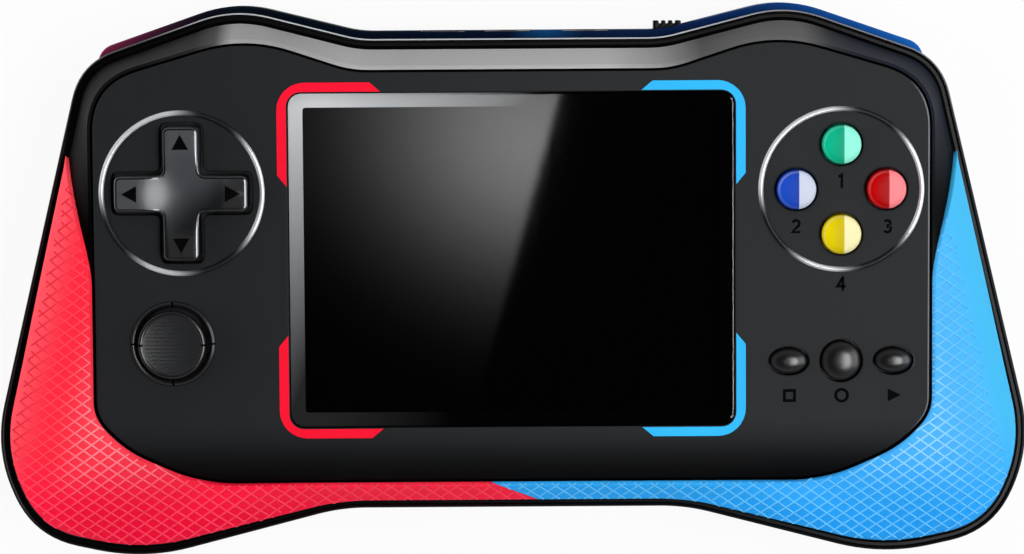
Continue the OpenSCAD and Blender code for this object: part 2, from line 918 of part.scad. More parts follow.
module trim_ring() {
    rotate_extrude()
        polygon([
            [ring_r - ring_w, plate_top - ring_sink], [ring_r, plate_top - ring_sink],
            [ring_r, plate_top + ring_rise - ring_bevel], [ring_r - ring_bevel, plate_top + ring_rise],
            [ring_r - ring_w + ring_bevel, plate_top + ring_rise],
            [ring_r - ring_w, plate_top + ring_rise - ring_bevel]]);
}

module pad_ring() {
    color("silver")
        translate([-controls_x, controls_y])
            trim_ring();
}

module action_ring() {
    color("silver")
        translate([controls_x, controls_y])
            trim_ring();
}

// Two ears with a bore along X through both
module ears(low, high, bore_r) {
    difference() {
        both_sides()
            translate([ear_in + ear_t / 2, 0])
                block(ear_t, 2 * ear_r, low, high);
        translate([0, 0, pivot_z])
            rotate([0, 90, 0])
                cylinder(r = bore_r, h = 2 * ear_out + 2 * eps, center = true);
    }
}

module direction_pad() {
    color("#34373b")
        translate([-controls_x, controls_y]) {
            translate([0, 0, flange_z + flange_t - fit])
                linear_extrude(plate_top + pad_rise - flange_z - flange_t + fit)
                    pad_cross(0);
            disc(flange_r, flange_z, flange_z + flange_t);
            rotate(90)
                ears(pivot_z - ear_r, flange_z + fit, pin_r + running);
        }
}

module pad_pivot() {
    color("#9aa0a6")
        translate([-controls_x, controls_y, pivot_z])
            for (a = [0, 90])
                rotate([0, 90, a])
                    cylinder(r = pin_r, h = 2 * ear_out, center = true);
}

module pad_post() {
    color("#5a5e63")
        translate([-controls_x, controls_y]) {
            block(2 * ear_out, 2 * ear_r, board_top, board_top + post_t);
            ears(board_top, pivot_z + ear_r, pin_r + running);
        }
}

// A round button: a domed cap, a flange under the plate and a stem over its rubber dome
module round_button(r, rise, travel) {
    stem_z = dome_top + travel + seat_gap;
    flange_top = plate_under - seat_gap;
    rotate_extrude()
        polygon(concat(
            [[0, stem_z], [dome_r, stem_z], [dome_r, flange_top - skirt], [r + skirt, flange_top - skirt],
             [r + skirt, flange_top], [r, flange_top]],
            [for (k = [arc_n:-1:0])
                let (f = k / arc_n)
                    [r * f, plate_top + rise - crown * f * f]]));
}

module oval_button() {
    stem_z = dome_top + system_travel + seat_gap;
    flange_top = plate_under - seat_gap;
    translate([0, 0, flange_top - fit])
        linear_extrude(plate_top + system_rise - flange_top + fit)
            oval(0);
    translate([0, 0, flange_top - skirt])
        linear_extrude(skirt)
            oval(oval_skirt);
    disc(small_dome_r, stem_z, flange_top - skirt + fit);
}

module action_button(angle) {
    translate([controls_x, controls_y])
        rotate(angle)
            translate([button_circle, 0])
                round_button(button_r, button_rise, button_travel);
}

module green_button() {
    color("#18c294")
        action_button(90);
}

module blue_button() {
    color("#2a50c8")
        action_button(180);
}

module red_button() {
    color("#c80a14")
        action_button(0);
}

module yellow_button() {
    color("#e0cc10")
        action_button(270);
}

module select_button() {
    color("#1d1f22")
        translate([controls_x - system_pitch, system_y])
            oval_button();
}

module home_button() {
    color("#1d1f22")
        translate([controls_x, system_y])
            round_button(system_r, system_rise, system_travel);
}

module start_button() {
    color("#1d1f22")
        translate([controls_x + system_pitch, system_y])
            oval_button();
}

// Stick

module at_stick() {
    translate([stick_x, stick_y])
        children();
}

module stick_collar() {
    color("#26282b")
        at_stick()
            tube(collar_r, collar_r - collar_w, plate_top - collar_sink, plate_top + collar_rise);
}

module stick_cap() {
    low = plate_top + stick_lift;
    high = low + stick_cap_t;
    flange_low = carriage_top + seat_gap;
    color("#2f3236")
        at_stick() {
            rotate_extrude()
                polygon([
                    [0, low], [stick_r - stick_lip, low], [stick_r, low + stick_lip],
                    [stick_r, high - stick_lip], [stick_r - stick_lip, high],
                    [stick_r - 3 * stick_lip, high - stick_dish / 4],
                    [stick_r - 4 * stick_lip, high - stick_dish], [0, high - stick_dish / 2]]);
            disc(stick_post_r, carriage_top, low + fit);
            block(stick_foot, stick_foot, carriage_z, flange_low + fit);
            block(stick_flange, stick_flange, flange_low, flange_low + stick_flange_t);
        }
}

module stick_carriage() {
    slot = stick_foot + 2 * slide_gap;
    color("#6d7278")
        at_stick()
            difference() {
                block(stick_cavity - 2 * stick_travel - 2 * slide_gap, stick_cavity - 2 * slide_gap,
                      carriage_z, carriage_top);
                block(slot, slot + 2 * stick_travel, carriage_z - eps, carriage_top + eps);
            }
}

module stick_base() {
    color("#4a4e54")
        at_stick()
            difference() {
                block(stick_box, stick_box, board_top, stick_box_top);
                block(stick_cavity, stick_cavity, carriage_z - seat_gap, stick_box_top - stick_roof);
                disc(stick_post_r + 1.5 * stick_travel + slide_gap, carriage_top, stick_box_top + eps);
            }
}

// Power switch

module power_knob() {
    color("#141517")
        difference() {
            union() {
                translate([knob_x, knob_y, knob_z - knob_h / 2])
                    cube([knob_w, knob_l, knob_h]);
                translate([neck_x, switch_face - neck_l, knob_z - neck_h / 2])
                    cube([neck_w, knob_y - switch_face + neck_l + fit, neck_h]);
            }
            for (k = [1:3])
                translate([knob_x + (knob_w * k / 2 - knob_rib) / 2, knob_y + knob_l - knob_rib, 0])
                    cube([knob_rib, 2 * knob_rib, rear_depth]);
        }
}

module power_switch() {
    color("#a9adb2")
        difference() {
            translate([knob_x - switch_margin, switch_y, board_z - switch_h])
                cube([knob_w + knob_travel + 2 * switch_margin, switch_l, switch_h]);
            translate([neck_x - slide_gap, switch_face - neck_l - slide_gap, knob_z - neck_h / 2 - slide_gap])
                cube([neck_w + knob_travel + 2 * slide_gap, 2 * neck_l, neck_h + 2 * slide_gap]);
        }
}

// Inside

module main_board() {
    color("#1e5a34")
        difference() {
            slab(plate(board_inset), board_z, board_top);
            at_points(case_bosses)
                disc(boss_r + boss_gap, board_z - eps, board_top + eps);
            at_points(board_bosses)
                disc(small_r + screw_gap, board_z - eps, board_top + eps);
        }
}

module board_chips() {
    color("#17181a")
        translate([0, lens_y])
            for (chip = chips)
                translate([chip[0], chip[1]])
                    block(chip[2], chip[3], board_top, board_top + chip_t);
}

module board_screws() {
    color("#8b8f94")
        at_points(board_bosses)
            screw(small_r, small_head_r, small_head_t, board_z, plate_under - 2 * screw_tip);
}

module pad_membrane() {
    color("#8d9196")
        translate([-controls_x, controls_y]) {
            tube(pad_dome_r + dome_r + membrane_rim / 2, ear_out + 1, board_top, board_top + membrane_t);
            for (a = [0:90:270])
                rotate(a)
                    translate([pad_dome_r, 0])
                        disc(dome_r, board_top + membrane_t - fit, pad_dome_top);
        }
}

module action_membrane() {
    color("#8d9196")
        translate([controls_x, controls_y]) {
            disc(button_circle + dome_r + membrane_rim, board_top, board_top + membrane_t);
            at_action()
                disc(dome_r, board_top + membrane_t - fit, dome_top);
        }
}

module system_membrane() {
    color("#8d9196")
        translate([controls_x, system_y]) {
            panel(2 * system_pitch + 2 * small_dome_r + 2 * membrane_rim,
                  2 * small_dome_r + 2 * membrane_rim, membrane_rim, board_top, board_top + membrane_t);
            for (k = [-1:1])
                translate([k * system_pitch, 0])
                    disc(k == 0 ? dome_r : small_dome_r, board_top + membrane_t - fit, dome_top);
        }
}

module speaker() {
    color("#3a3a3a")
        speaker_place() {
            disc(speaker_r, floor_t, floor_t + speaker_rim_t);
            disc(speaker_core_r, floor_t + speaker_rim_t - fit, floor_t + speaker_t);
        }
}

module battery_tray() {
    cavity_l = battery_l + 2 * bay_gap;
    cavity_w = battery_w + 2 * bay_gap;
    roof = floor_t + battery_t + bay_gap;
    color("#3b3f45")
        translate([0, bay_y])
            difference() {
                union() {
                    panel(door_l + 2 * tray_flange, door_w + 2 * tray_flange, door_r,
                          floor_t, floor_t + tray_flange_t);
                    panel(cavity_l + 2 * tray_wall, cavity_w + 2 * tray_wall, tray_r,
                          floor_t, roof + tray_wall);
                    for (s = [-1, 1])
                        translate([s * door_screw_x, 0])
                            disc(tray_boss_r, floor_t, floor_t + tray_boss_h);
                }
                panel(cavity_l, cavity_w, bay_r, floor_t - eps, roof);
                for (s = [-1, 1])
                    translate([s * door_screw_x, 0])
                        disc(small_r + fit, floor_t - eps, floor_t + tray_boss_h - fit);
                contact_slots(fit);
            }
}

module contact_slots(grow) {
    for (k = [-1:1])
        translate([battery_l / 2 + bay_gap + tray_wall / 2, k * contact_pitch])
            block(tray_wall + 2 * bay_gap, contact_w + 2 * grow,
                  contact_z - grow, contact_z + contact_h + grow);
}

module battery_contacts() {
    color("#c9a24a")
        translate([0, bay_y])
            contact_slots(0);
}

module battery() {
    color("#c7ccd2")
        translate([0, bay_y])
            panel(battery_l, battery_w, battery_r, floor_t, floor_t + battery_t);
}

module battery_door() {
    color("#20263f")
        translate([0, bay_y])
            difference() {
                panel(door_l, door_w, door_r - slip, door_sink, floor_t);
                for (s = [-1, 1])
                    translate([s * door_screw_x, 0]) {
                        disc(small_r + screw_gap, -eps, floor_t + eps);
                        disc(small_head_r + screw_gap, -eps, door_sink + small_head_t);
                    }
            }
}

module door_screws() {
    color("#8b8f94")
        translate([0, bay_y])
            for (s = [-1, 1])
                translate([s * door_screw_x, 0])
                    screw(small_r, small_head_r, small_head_t,
                          door_sink + small_head_t, floor_t + tray_boss_h - eps);
}

module usb_socket() {
    color("silver")
        translate([usb_x, port_face - port_gap, board_z - usb_h / 2])
            rotate([90, 0, 0])
                difference() {
                    linear_extrude(usb_l)
                        rounded(usb_w, usb_h, usb_r);
                    translate([0, 0, -eps])
                        linear_extrude(usb_l - jack_back + eps)
                            rounded(usb_w - 2 * usb_wall, usb_h - 2 * usb_wall, usb_r - usb_wall);
                }
}

module jack(x) {
    color("#111214")
        translate([x, port_face - port_gap, board_z - jack_h / 2])
            rotate([90, 0, 0])
                difference() {
                    translate([-jack_w / 2, -jack_h / 2, 0])
                        cube([jack_w, jack_h, jack_l]);
                    translate([0, 0, -eps])
                        cylinder(r = jack_bore_r, h = jack_bore_l + eps);
                }
}

module headphone_jack() {
    jack(phone_x);
}

module video_jack() {
    jack(video_x);
}

front_housing();
face_plate();
left_grip();
right_grip();
rear_shell();
battery_door();
door_screws();
battery_tray();
battery();
battery_contacts();
case_screws();
screen_lens();
screen_frame();
red_accents();
blue_accents();
pad_ring();
action_ring();
stick_collar();
direction_pad();
pad_pivot();
pad_post();
green_button();
blue_button();
red_button();
yellow_button();
select_button();
home_button();
start_button();
stick_cap();
stick_carriage();
stick_base();
power_knob();
power_switch();
display_module();
display_ribbon();
main_board();
board_chips();
board_screws();
pad_membrane();
action_membrane();
system_membrane();
speaker();
usb_socket();
headphone_jack();
video_jack();
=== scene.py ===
"""A handheld game console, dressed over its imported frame: case, grips, screen, controls and studio."""
from __future__ import annotations

import logging
import math
from dataclasses import dataclass
from enum import Enum
from functools import lru_cache
from typing import Iterable, Mapping, Sequence, Union

import bmesh
import bpy
from mathutils import Matrix, Vector


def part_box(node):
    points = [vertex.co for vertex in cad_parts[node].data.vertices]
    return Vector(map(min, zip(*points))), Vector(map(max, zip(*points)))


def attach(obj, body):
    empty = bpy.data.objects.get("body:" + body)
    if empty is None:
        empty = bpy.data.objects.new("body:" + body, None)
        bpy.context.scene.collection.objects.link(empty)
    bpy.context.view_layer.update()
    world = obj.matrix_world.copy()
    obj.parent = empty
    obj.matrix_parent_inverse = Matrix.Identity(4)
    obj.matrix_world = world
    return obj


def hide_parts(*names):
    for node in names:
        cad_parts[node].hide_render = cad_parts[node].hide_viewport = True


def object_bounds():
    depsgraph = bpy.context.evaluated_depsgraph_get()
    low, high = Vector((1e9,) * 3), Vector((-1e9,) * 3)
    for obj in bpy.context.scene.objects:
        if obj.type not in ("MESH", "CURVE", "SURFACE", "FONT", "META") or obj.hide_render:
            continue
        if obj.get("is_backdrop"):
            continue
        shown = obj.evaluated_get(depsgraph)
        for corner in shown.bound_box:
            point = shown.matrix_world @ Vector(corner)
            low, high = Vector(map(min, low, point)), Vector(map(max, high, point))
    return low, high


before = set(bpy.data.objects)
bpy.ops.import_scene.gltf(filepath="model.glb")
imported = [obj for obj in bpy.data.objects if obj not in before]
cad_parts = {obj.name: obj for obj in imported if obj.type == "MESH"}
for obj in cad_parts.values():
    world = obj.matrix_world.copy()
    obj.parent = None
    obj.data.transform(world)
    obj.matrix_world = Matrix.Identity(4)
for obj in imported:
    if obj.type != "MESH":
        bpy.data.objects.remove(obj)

LOG = logging.getLogger("console")
MM = 0.001
TO_MM = 1 / MM
CREASE = 40.0  # degrees past which an edge of a turned, cut or grown piece is sharp
WHITE = (1.0, 1.0, 1.0, 1.0)
Colour = tuple[float, float, float]
Flat = tuple[float, float]
Corner = tuple[float, float, float]
Spot = tuple[float, float, float]
Stops = tuple[tuple[float, Union[str, Colour]], ...]


def tone(code: str) -> Colour:
    """Turns a colour code into linear light.

    Args:
        code: Six hex digits for red, green and blue.

    Returns:
        Linear red, green and blue from 0 to 1.
    """
    values = [int(code[k:k + 2], 16) / 255 for k in (0, 2, 4)]
    red, green, blue = (v / 12.92 if v <= 0.04045 else ((v + 0.055) / 1.055) ** 2.4 for v in values)
    return red, green, blue


class Side(Enum):
    """The two halves of the case, by the sign of their x."""

    LEFT = -1
    RIGHT = 1


class Wire:
    """A node's output socket that takes part in Python expressions."""

    def __init__(self, graph: "Graph", socket: bpy.types.NodeSocket) -> None:
        """Keeps the socket and the graph that it is in."""
        self.graph = graph
        self.socket = socket

    def sibling(self, output: str) -> "Wire":
        """Another output of the same node."""
        return Wire(self.graph, self.socket.node.outputs[output])

    def math(self, operation: str, *values: Operand) -> "Wire":
        """The result of a Math node on these values."""
        return self.graph.node("ShaderNodeMath", {"operation": operation}, dict(enumerate(values)))

    def __add__(self, other: Operand) -> "Wire":
        """Adds a value or a wire."""
        return self.math("ADD", self, other)

    __radd__ = __add__

    def __sub__(self, other: Operand) -> "Wire":
        """Takes a value or a wire away."""
        return self.math("SUBTRACT", self, other)

    def __rsub__(self, other: Operand) -> "Wire":
        """Takes this wire away from a value."""
        return self.math("SUBTRACT", other, self)

    def __mul__(self, other: Operand) -> "Wire":
        """Multiplies by a value or a wire."""
        return self.math("MULTIPLY", self, other)

    __rmul__ = __mul__

    def __truediv__(self, other: Operand) -> "Wire":
        """Divides by a value or a wire."""
        return self.math("DIVIDE", self, other)

    def __rtruediv__(self, other: Operand) -> "Wire":
        """Divides a value by this wire."""
        return self.math("DIVIDE", other, self)

    def __pow__(self, other: Operand) -> "Wire":
        """Raises to a power."""
        return self.math("POWER", self, other)

    def size(self) -> "Wire":
        """The value without its sign."""
        return self.math("ABSOLUTE", self)

    def step(self, low: float, high: float) -> "Wire":
        """A smooth step from 0 at the low value to 1 at the high one."""
        return self.graph.node("ShaderNodeMapRange", {"interpolation_type": "SMOOTHSTEP"},
                               {"Value": self, "From Min": low, "From Max": high})


Operand = Union[float, Wire]
Ink = Union[str, Wire]


class Graph:
    """A node tree and the one method that adds any node to it."""

    def __init__(self, tree: bpy.types.NodeTree) -> None:
        """Keeps the tree."""
        self.tree = tree

    def node(self, kind: str, settings: Mapping[str, object], inputs: Mapping[Union[str, int], object],
             output: Union[str, int] = 0) -> Wire:
        """Adds a node.

        Args:
            kind: The node's type.
            settings: Its properties, set first; "stops" are a colour ramp's.
            inputs: Values or wires by socket name or place; a list of wires goes to one socket.
            output: The output socket to return.

        Returns:
            That output as a wire.
        """
        made = self.tree.nodes.new(kind)
        for name, value in settings.items():
            if name == "stops":
                self._set_stops(made.color_ramp, value)
            else:
                setattr(made, name, value)
        for name, value in inputs.items():
            socket = made.inputs[name]
            if isinstance(value, (Wire, list)):
                for wire in value if isinstance(value, list) else [value]:
                    self.tree.links.new(wire.socket, socket)
            else:
                socket.default_value = value
        return Wire(self, made.outputs[output])

    @staticmethod
    def _set_stops(ramp: bpy.types.ColorRamp, stops: Stops) -> None:
        """Gives a colour ramp its stops.

        Args:
            ramp: The ramp.
            stops: Place of each stop, and its colour or colour code.
        """
        while len(ramp.elements) < len(stops):
            ramp.elements.new(1.0)
        for element, (place, colour) in zip(ramp.elements, stops):
            element.position = place
            element.color = (*(tone(colour) if isinstance(colour, str) else colour), 1.0)


class Paint(Graph):
    """The node tree of one material, on Object coordinates."""

    def __init__(self, name: str) -> None:
        """Starts an empty material.

        Args:
            name: The material's name.
        """
        self.material = bpy.data.materials.new(name)
        self.material.use_nodes = True
        super().__init__(self.material.node_tree)
        self.tree.nodes.clear()
        self.spot = self.node("ShaderNodeTexCoord", {}, {}, "Object")

    def axes(self) -> tuple[Wire, Wire, Wire]:
        """The place on the piece along X, Y and Z, in millimetres."""
        x = self.node("ShaderNodeSeparateXYZ", {}, {"Vector": self.spot}, "X")
        return x * TO_MM, x.sibling("Y") * TO_MM, x.sibling("Z") * TO_MM

    def around(self, centre: Flat) -> tuple[Wire, Wire, Wire]:
        """The place about an upright axis.

        Args:
            centre: The axis.

        Returns:
            How far the place is across, up and away from it, in millimetres.
        """
        x, y, _ = self.axes()
        across, up = x - centre[0], y - centre[1]
        return across, up, (across * across + up * up) ** 0.5

    def noise(self, size: float, detail: float = 2.0, spot: Union[Wire, None] = None) -> Wire:
        """Noise from 0 to 1, with specks of a size in millimetres."""
        return self.node("ShaderNodeTexNoise", {},
                         {"Vector": spot or self.spot, "Scale": 1 / (size * MM), "Detail": detail}, "Fac")

    def mix(self, share: Operand, first: Ink, second: Ink) -> Wire:
        """Mixes two colours by a share from 0 to 1."""
        ends = {k: v if isinstance(v, Wire) else (*tone(v), 1.0) for k, v in ((6, first), (7, second))}
        return self.node("ShaderNodeMix", {"data_type": "RGBA"}, {0: share, **ends}, 2)

    def shade(self, colour: Ink, factor: Wire) -> Wire:
        """Makes a colour darker or lighter by a factor."""
        values = {0: colour if isinstance(colour, Wire) else tone(colour),
                  1: self.node("ShaderNodeCombineXYZ", {}, {0: factor, 1: factor, 2: factor})}
        return self.node("ShaderNodeVectorMath", {"operation": "MULTIPLY"}, values)

    def ramp(self, share: Wire, stops: Stops) -> Wire:
        """A colour from a row of stops."""
        return self.node("ShaderNodeValToRGB", {"stops": stops}, {"Fac": share}, "Color")

    def close(self, colour: Wire, roughness: Wire, grain: Union[Wire, None] = None, depth: float = 0.0,
              gloss: float = 0.5, metal: Operand = 0.0) -> bpy.types.Material:
        """Ends the material in a Principled shader.

        Args:
            colour: Its colour.
            roughness: Its roughness.
            grain: Height of its relief from 0 to 1, where it has one.
            depth: Depth of the relief in millimetres.
            gloss: Strength of its mirroring.
            metal: Share of bare metal.

        Returns:
            The material.
        """
        sockets = {"Base Color": colour, "Roughness": roughness, "Specular IOR Level": gloss, "Metallic": metal}
        if grain:
            sockets["Normal"] = self.node("ShaderNodeBump", {}, {
                "Strength": 1.0, "Distance": depth * MM, "Height": grain})
        return self.end(self.node("ShaderNodeBsdfPrincipled", {}, sockets))

    def end(self, shader: Wire) -> bpy.types.Material:
        """Ends the material in any shader.

        Args:
            shader: The shader.

        Returns:
            The material.
        """
        sink = self.tree.nodes.new("ShaderNodeOutputMaterial")
        self.tree.links.new(shader.socket, sink.inputs["Surface"])
        return self.material


@dataclass(frozen=True)
class Finish:
    """What a surface looks like, made into a material of the same name."""

    name: str

    def make(self) -> bpy.types.Material:
        """Makes the material."""
        raise NotImplementedError


@dataclass(frozen=True)
class Plastic(Finish):
    """Moulded plastic or rubber with a fine grain and a slight unevenness."""

    colour: str
    roughness: float = 0.45
    grain: float = 0.25
    depth: float = 0.012
    gloss: float = 0.5
    patch: float = 9.0

    def make(self) -> bpy.types.Material:
        """Makes the material.

        Returns:
            The material.
        """
        paint = Paint(self.name)
        cloud, speck = paint.noise(self.patch, 3.0), paint.noise(self.grain)
        colour = paint.shade(self.colour, 0.86 + cloud * 0.2 + speck * 0.08)
        roughness = self.roughness - 0.05 + speck * 0.06 + cloud * 0.04
        return paint.close(colour, roughness, speck, self.depth, self.gloss)


@dataclass(frozen=True)
class Metal(Finish):
    """Bare or plated metal with faint drawn lines."""

    colour: str
    roughness: float = 0.25
    lines: float = 0.3
    stretch: Spot = (6.0, 0.6, 0.6)
    depth: float = 0.004

    def make(self) -> bpy.types.Material:
        """Makes the material.

        Returns:
            The material.
        """
        paint = Paint(self.name)
        spot = paint.node("ShaderNodeMapping", {}, {"Vector": paint.spot, "Scale": self.stretch})
        drawn = paint.noise(self.lines, spot=spot)
        colour = paint.shade(self.colour, 0.88 + drawn * 0.2)
        return paint.close(colour, self.roughness - 0.04 + drawn * 0.08, drawn, self.depth, metal=1.0)


@dataclass(frozen=True)
class SatinBandPaintedSheen(Finish):
    """The satin grey of the sloped top edge with a painted sheen: lit only along the top, and fading to black at both
    ends.
    """

    sheen_gain: float
    cool: str = "0c1726"
    roughness: float = 0.45
    grain: float = 0.2
    depth: float = 0.006
    gloss: float = 0.06
    reach: float = 80.0
    # Painted sheen: grey levels along x that stand for the light caught by the sloped edge.
    sheen_greys: tuple[Flat, ...] = (
        (-80, 0.003), (-62, 0.004), (-53, 0.014), (-49.5, 0.05), (-46.8, 0.27), (-38, 0.245), (-26, 0.33),
        (-18, 0.305), (0, 0.335), (16, 0.35), (25, 0.22), (32, 0.062), (41, 0.082), (49, 0.088), (54, 0.026),
        (58, 0.012), (80, 0.005))

    def make(self) -> bpy.types.Material:
        """Makes the material.

        Returns:
            The material.
        """
        paint = Paint(self.name)
        x, y, _ = paint.axes()
        speck = paint.noise(self.grain)
        width = 2 * self.reach
        stops = tuple(((place + self.reach) / width, (level,) * 3) for place, level in self.sheen_greys)
        cool = paint.mix(x.step(48, 60) * 0.6, paint.ramp((x + self.reach) / width, stops), self.cool)
        # Painted light: only the part along the top is lit, and the factor sets how brightly.
        level = (0.92 + speck * 0.16) * (y.step(10, 30) * self.sheen_gain + 0.02)
        return paint.close(paint.shade(cool, level), self.roughness + speck * 0.06, speck, self.depth, self.gloss)


@dataclass(frozen=True)
class RimPaintedHighlight(Finish):
    """A painted highlight on the rim: a bright line along the top edge, dimmer to the right and at the far left, black
    further down.
    """

    dark: str = "060607"
    bright: str = "bcbec4"
    roughness: float = 0.42
    grain: float = 0.3
    depth: float = 0.002
    gloss: float = 0.1

    def make(self) -> bpy.types.Material:
        """Makes the material.

        Returns:
            The material.
        """
        paint = Paint(self.name)
        x, y, _ = paint.axes()
        speck = paint.noise(self.grain)
        # Painted highlight, strongest along the top edge.
        level = y.step(16, 38) * (1 - x.step(24, 54) * 0.62) * (0.14 + x.step(-64, -44) * 0.86)
        colour = paint.mix(level, self.dark, self.bright)
        return paint.close(colour, self.roughness + speck * 0.06, speck, self.depth, self.gloss)


@dataclass(frozen=True)
class ShellFade(Finish):
    """The rear shell's gloss, from maroon on the left through black to blue on the right, with a painted glint a
    little right of the middle.
    """

    reach: float = 100.0
    roughness: float = 0.42
    patch: float = 14.0
    grain: float = 0.3
    depth: float = 0.005
    gloss: float = 0.03
    # The paler blue stop at 0.53 is a painted glint.
    stops: Stops = (
        (0.08, "88264c"), (0.15, "7a2446"), (0.18, "58203c"), (0.21, "321a2c"), (0.24, "0e121c"), (0.3, "040d16"),
        (0.5, "04122a"), (0.53, "0a4070"), (0.56, "061c3c"), (0.64, "081e44"), (0.71, "0a3068"), (0.79, "0e4c98"),
        (0.86, "1464ba"))

    def make(self) -> bpy.types.Material:
        """Makes the material.

        Returns:
            The material.
        """
        paint = Paint(self.name)
        x, _, _ = paint.axes()
        cloud, speck = paint.noise(self.patch), paint.noise(self.grain)
        fade = paint.ramp((x + self.reach) / (2 * self.reach) + (cloud - 0.5) * 0.02, self.stops)
        roughness = self.roughness + speck * 0.06 + cloud * 0.04
        return paint.close(paint.shade(fade, 0.9 + speck * 0.2), roughness, speck, self.depth, self.gloss)


SIDE_NORMAL: Flat = (0.973, 0.233)  # the direction that the case's right edge faces
SIDE_REACH = 79.6  # how far that edge is from the middle
FOOT: Flat = (63.4, -47.9)  # the case's lowest corner on the right
WAIST_RUN = 34.0  # how far it is from there in to the waist
WAIST_RISE = 0.259  # how fast the lower edge climbs on the way


def side_distance(x: Wire, y: Wire) -> Wire:
    """Distance from the case's left or right edge in millimetres."""
    return SIDE_REACH - x.size() * SIDE_NORMAL[0] - y * SIDE_NORMAL[1]


def rim_distance(x: Wire, y: Wire) -> Wire:
    """Distance from the case's outer edge in millimetres, near enough to set the grips' painted shade by.

    Args:
        x: Place across, in millimetres.
        y: Place up, in millimetres.

    Returns:
        The distance as a wire.
    """
    side = side_distance(x, y)
    slack = FOOT[0] - x.size()
    slack = slack.math("MAXIMUM", slack.math("MINIMUM", slack, WAIST_RUN), 0.0)
    return side.math("MINIMUM", side, y - FOOT[1] - slack * WAIST_RISE)


@dataclass(frozen=True)
class GripRubberPaintedShade(Finish):
    """A grip's rubber with painted shade and highlight, which change from its outer edge inwards and towards its foot.
    """

    outer: str
    band: str
    inner: str
    foot: str
    roughness: float = 0.48
    patch: float = 11.0
    grain: float = 0.22
    depth: float = 0.01
    gloss: float = 0.14

    def make(self) -> bpy.types.Material:
        """Makes the material.

        Returns:
            The material.
        """
        paint = Paint(self.name)
        x, y, _ = paint.axes()
        cloud, speck = paint.noise(self.patch), paint.noise(self.grain)
        # Painted shade and highlight by distance from the rim, and towards the foot.
        edge = rim_distance(x, y) + (cloud - 0.5) * 2.0
        colour = paint.mix(edge.step(3.0, 8.0), self.outer, self.band)
        colour = paint.mix(edge.step(9.0, 17.0), colour, self.inner)
        colour = paint.mix(1 - y.step(-42.0, -24.0), colour, self.foot)
        colour = paint.shade(colour, 0.94 + speck * 0.1)
        return paint.close(colour, self.roughness + speck * 0.08, speck, self.depth, self.gloss)


@dataclass(frozen=True)
class PlateBlack(Finish):
    """The face plate's matt black with painted light: a little lighter to the right, painted shade on its rolled lower
    edge and a painted highlight line on its right edge.
    """

    edge_highlight: float = 0.0
    colour: str = "292b2d"
    bare: str = "7c7e82"
    roughness: float = 0.85
    patch: float = 30.0
    grain: float = 0.16
    depth: float = 0.012
    gloss: float = 0.1

    def make(self) -> bpy.types.Material:
        """Makes the material.

        Returns:
            The material.
        """
        paint = Paint(self.name)
        x, y, _ = paint.axes()
        cloud, speck = paint.noise(self.patch), paint.noise(self.grain)
        roll = y.step(-33.6, -22.5)
        # Painted shade on the rolled lower edge, and painted light growing towards the right.
        level = (0.03 + 0.97 * roll) * (0.66 + x.step(-62, 30) * 0.3) * (0.94 + cloud * 0.12)
        # Painted highlight line along the right edge's bevel.
        painted_highlight = x.step(66.5, 70.0) * y.step(-36.0, -16.0) * self.edge_highlight
        colour = paint.mix(painted_highlight, paint.shade(self.colour, level), self.bare)
        roughness = self.roughness - roll * 0.3 + speck * 0.1
        return paint.close(paint.shade(colour, 0.9 + speck * 0.2), roughness, speck, self.depth, self.gloss)


@dataclass(frozen=True)
class PadPlasticPaintedShade(Finish):
    """The direction pad's gloss with painted light: paler on its upper and left arms, with painted shade on the other
    two.
    """

    centre: Flat
    reach: float
    colour: str = "323437"
    roughness: float = 0.25
    patch: float = 9.0
    grain: float = 0.18
    depth: float = 0.001
    gloss: float = 0.9

    def make(self) -> bpy.types.Material:
        """Makes the material.

        Returns:
            The material.
        """
        paint = Paint(self.name)
        x, y, _ = paint.axes()
        cloud, speck = paint.noise(self.patch, 3.0), paint.noise(self.grain)
        # Painted light towards the upper left, painted shade towards the lower right.
        share = (y - self.centre[1] - (x - self.centre[0]) * 0.75) / self.reach
        level = (0.2 + share.step(-0.6, 0.2) * 1.5) * (0.92 + cloud * 0.1 + speck * 0.08)
        roughness = self.roughness + speck * 0.06 + cloud * 0.04
        return paint.close(paint.shade(self.colour, level), roughness, speck, self.depth, self.gloss)


@dataclass(frozen=True)
class CapPaintedReflection(Finish):
    """A button's gloss with painted light: a painted reflection makes its right part paler than its left, with a
    painted highlight round its top.
    """

    left: str
    right: str
    centre: Flat
    split: float = 0.35
    line: Flat = (2.86, 3.14)
    top: Flat = (24.7, 25.3)
    skirt: Flat = (24.4, 25.2)
    roughness: float = 0.3
    patch: float = 2.5
    depth: float = 0.003
    gloss: float = 0.14

    def make(self) -> bpy.types.Material:
        """Makes the material.

        Returns:
            The material.
        """
        paint = Paint(self.name)
        across, up, far = paint.around(self.centre)
        z = paint.axes()[2]
        cloud = paint.noise(self.patch)
        # Painted reflection on the right part of the top.
        side = across.step(self.split - 0.07, self.split + 0.07) * z.step(*self.top)
        # Painted shadow on the left part, darker towards the split.
        split_shadow = 1 - (1 - side) * across.step(self.split - 3.2, self.split) * 0.25
        inner, outer = self.line
        # Painted highlight in a line round the top, stronger on its upper side.
        line = far.step(inner - 0.14, inner + 0.06) * (1 - far.step(outer - 0.06, outer + 0.06))
        colour = paint.mix(side, self.left, self.right)
        colour = paint.mix(line * (0.08 + up.step(-2.0, 2.0) * 0.14), colour, self.right)
        # Painted shade on the lower side, below the top.
        level = split_shadow * (0.55 + 0.45 * z.step(*self.skirt)) * (0.96 + cloud * 0.08)
        roughness = self.roughness + cloud * 0.06
        return paint.close(paint.shade(colour, level), roughness, cloud, self.depth, self.gloss)


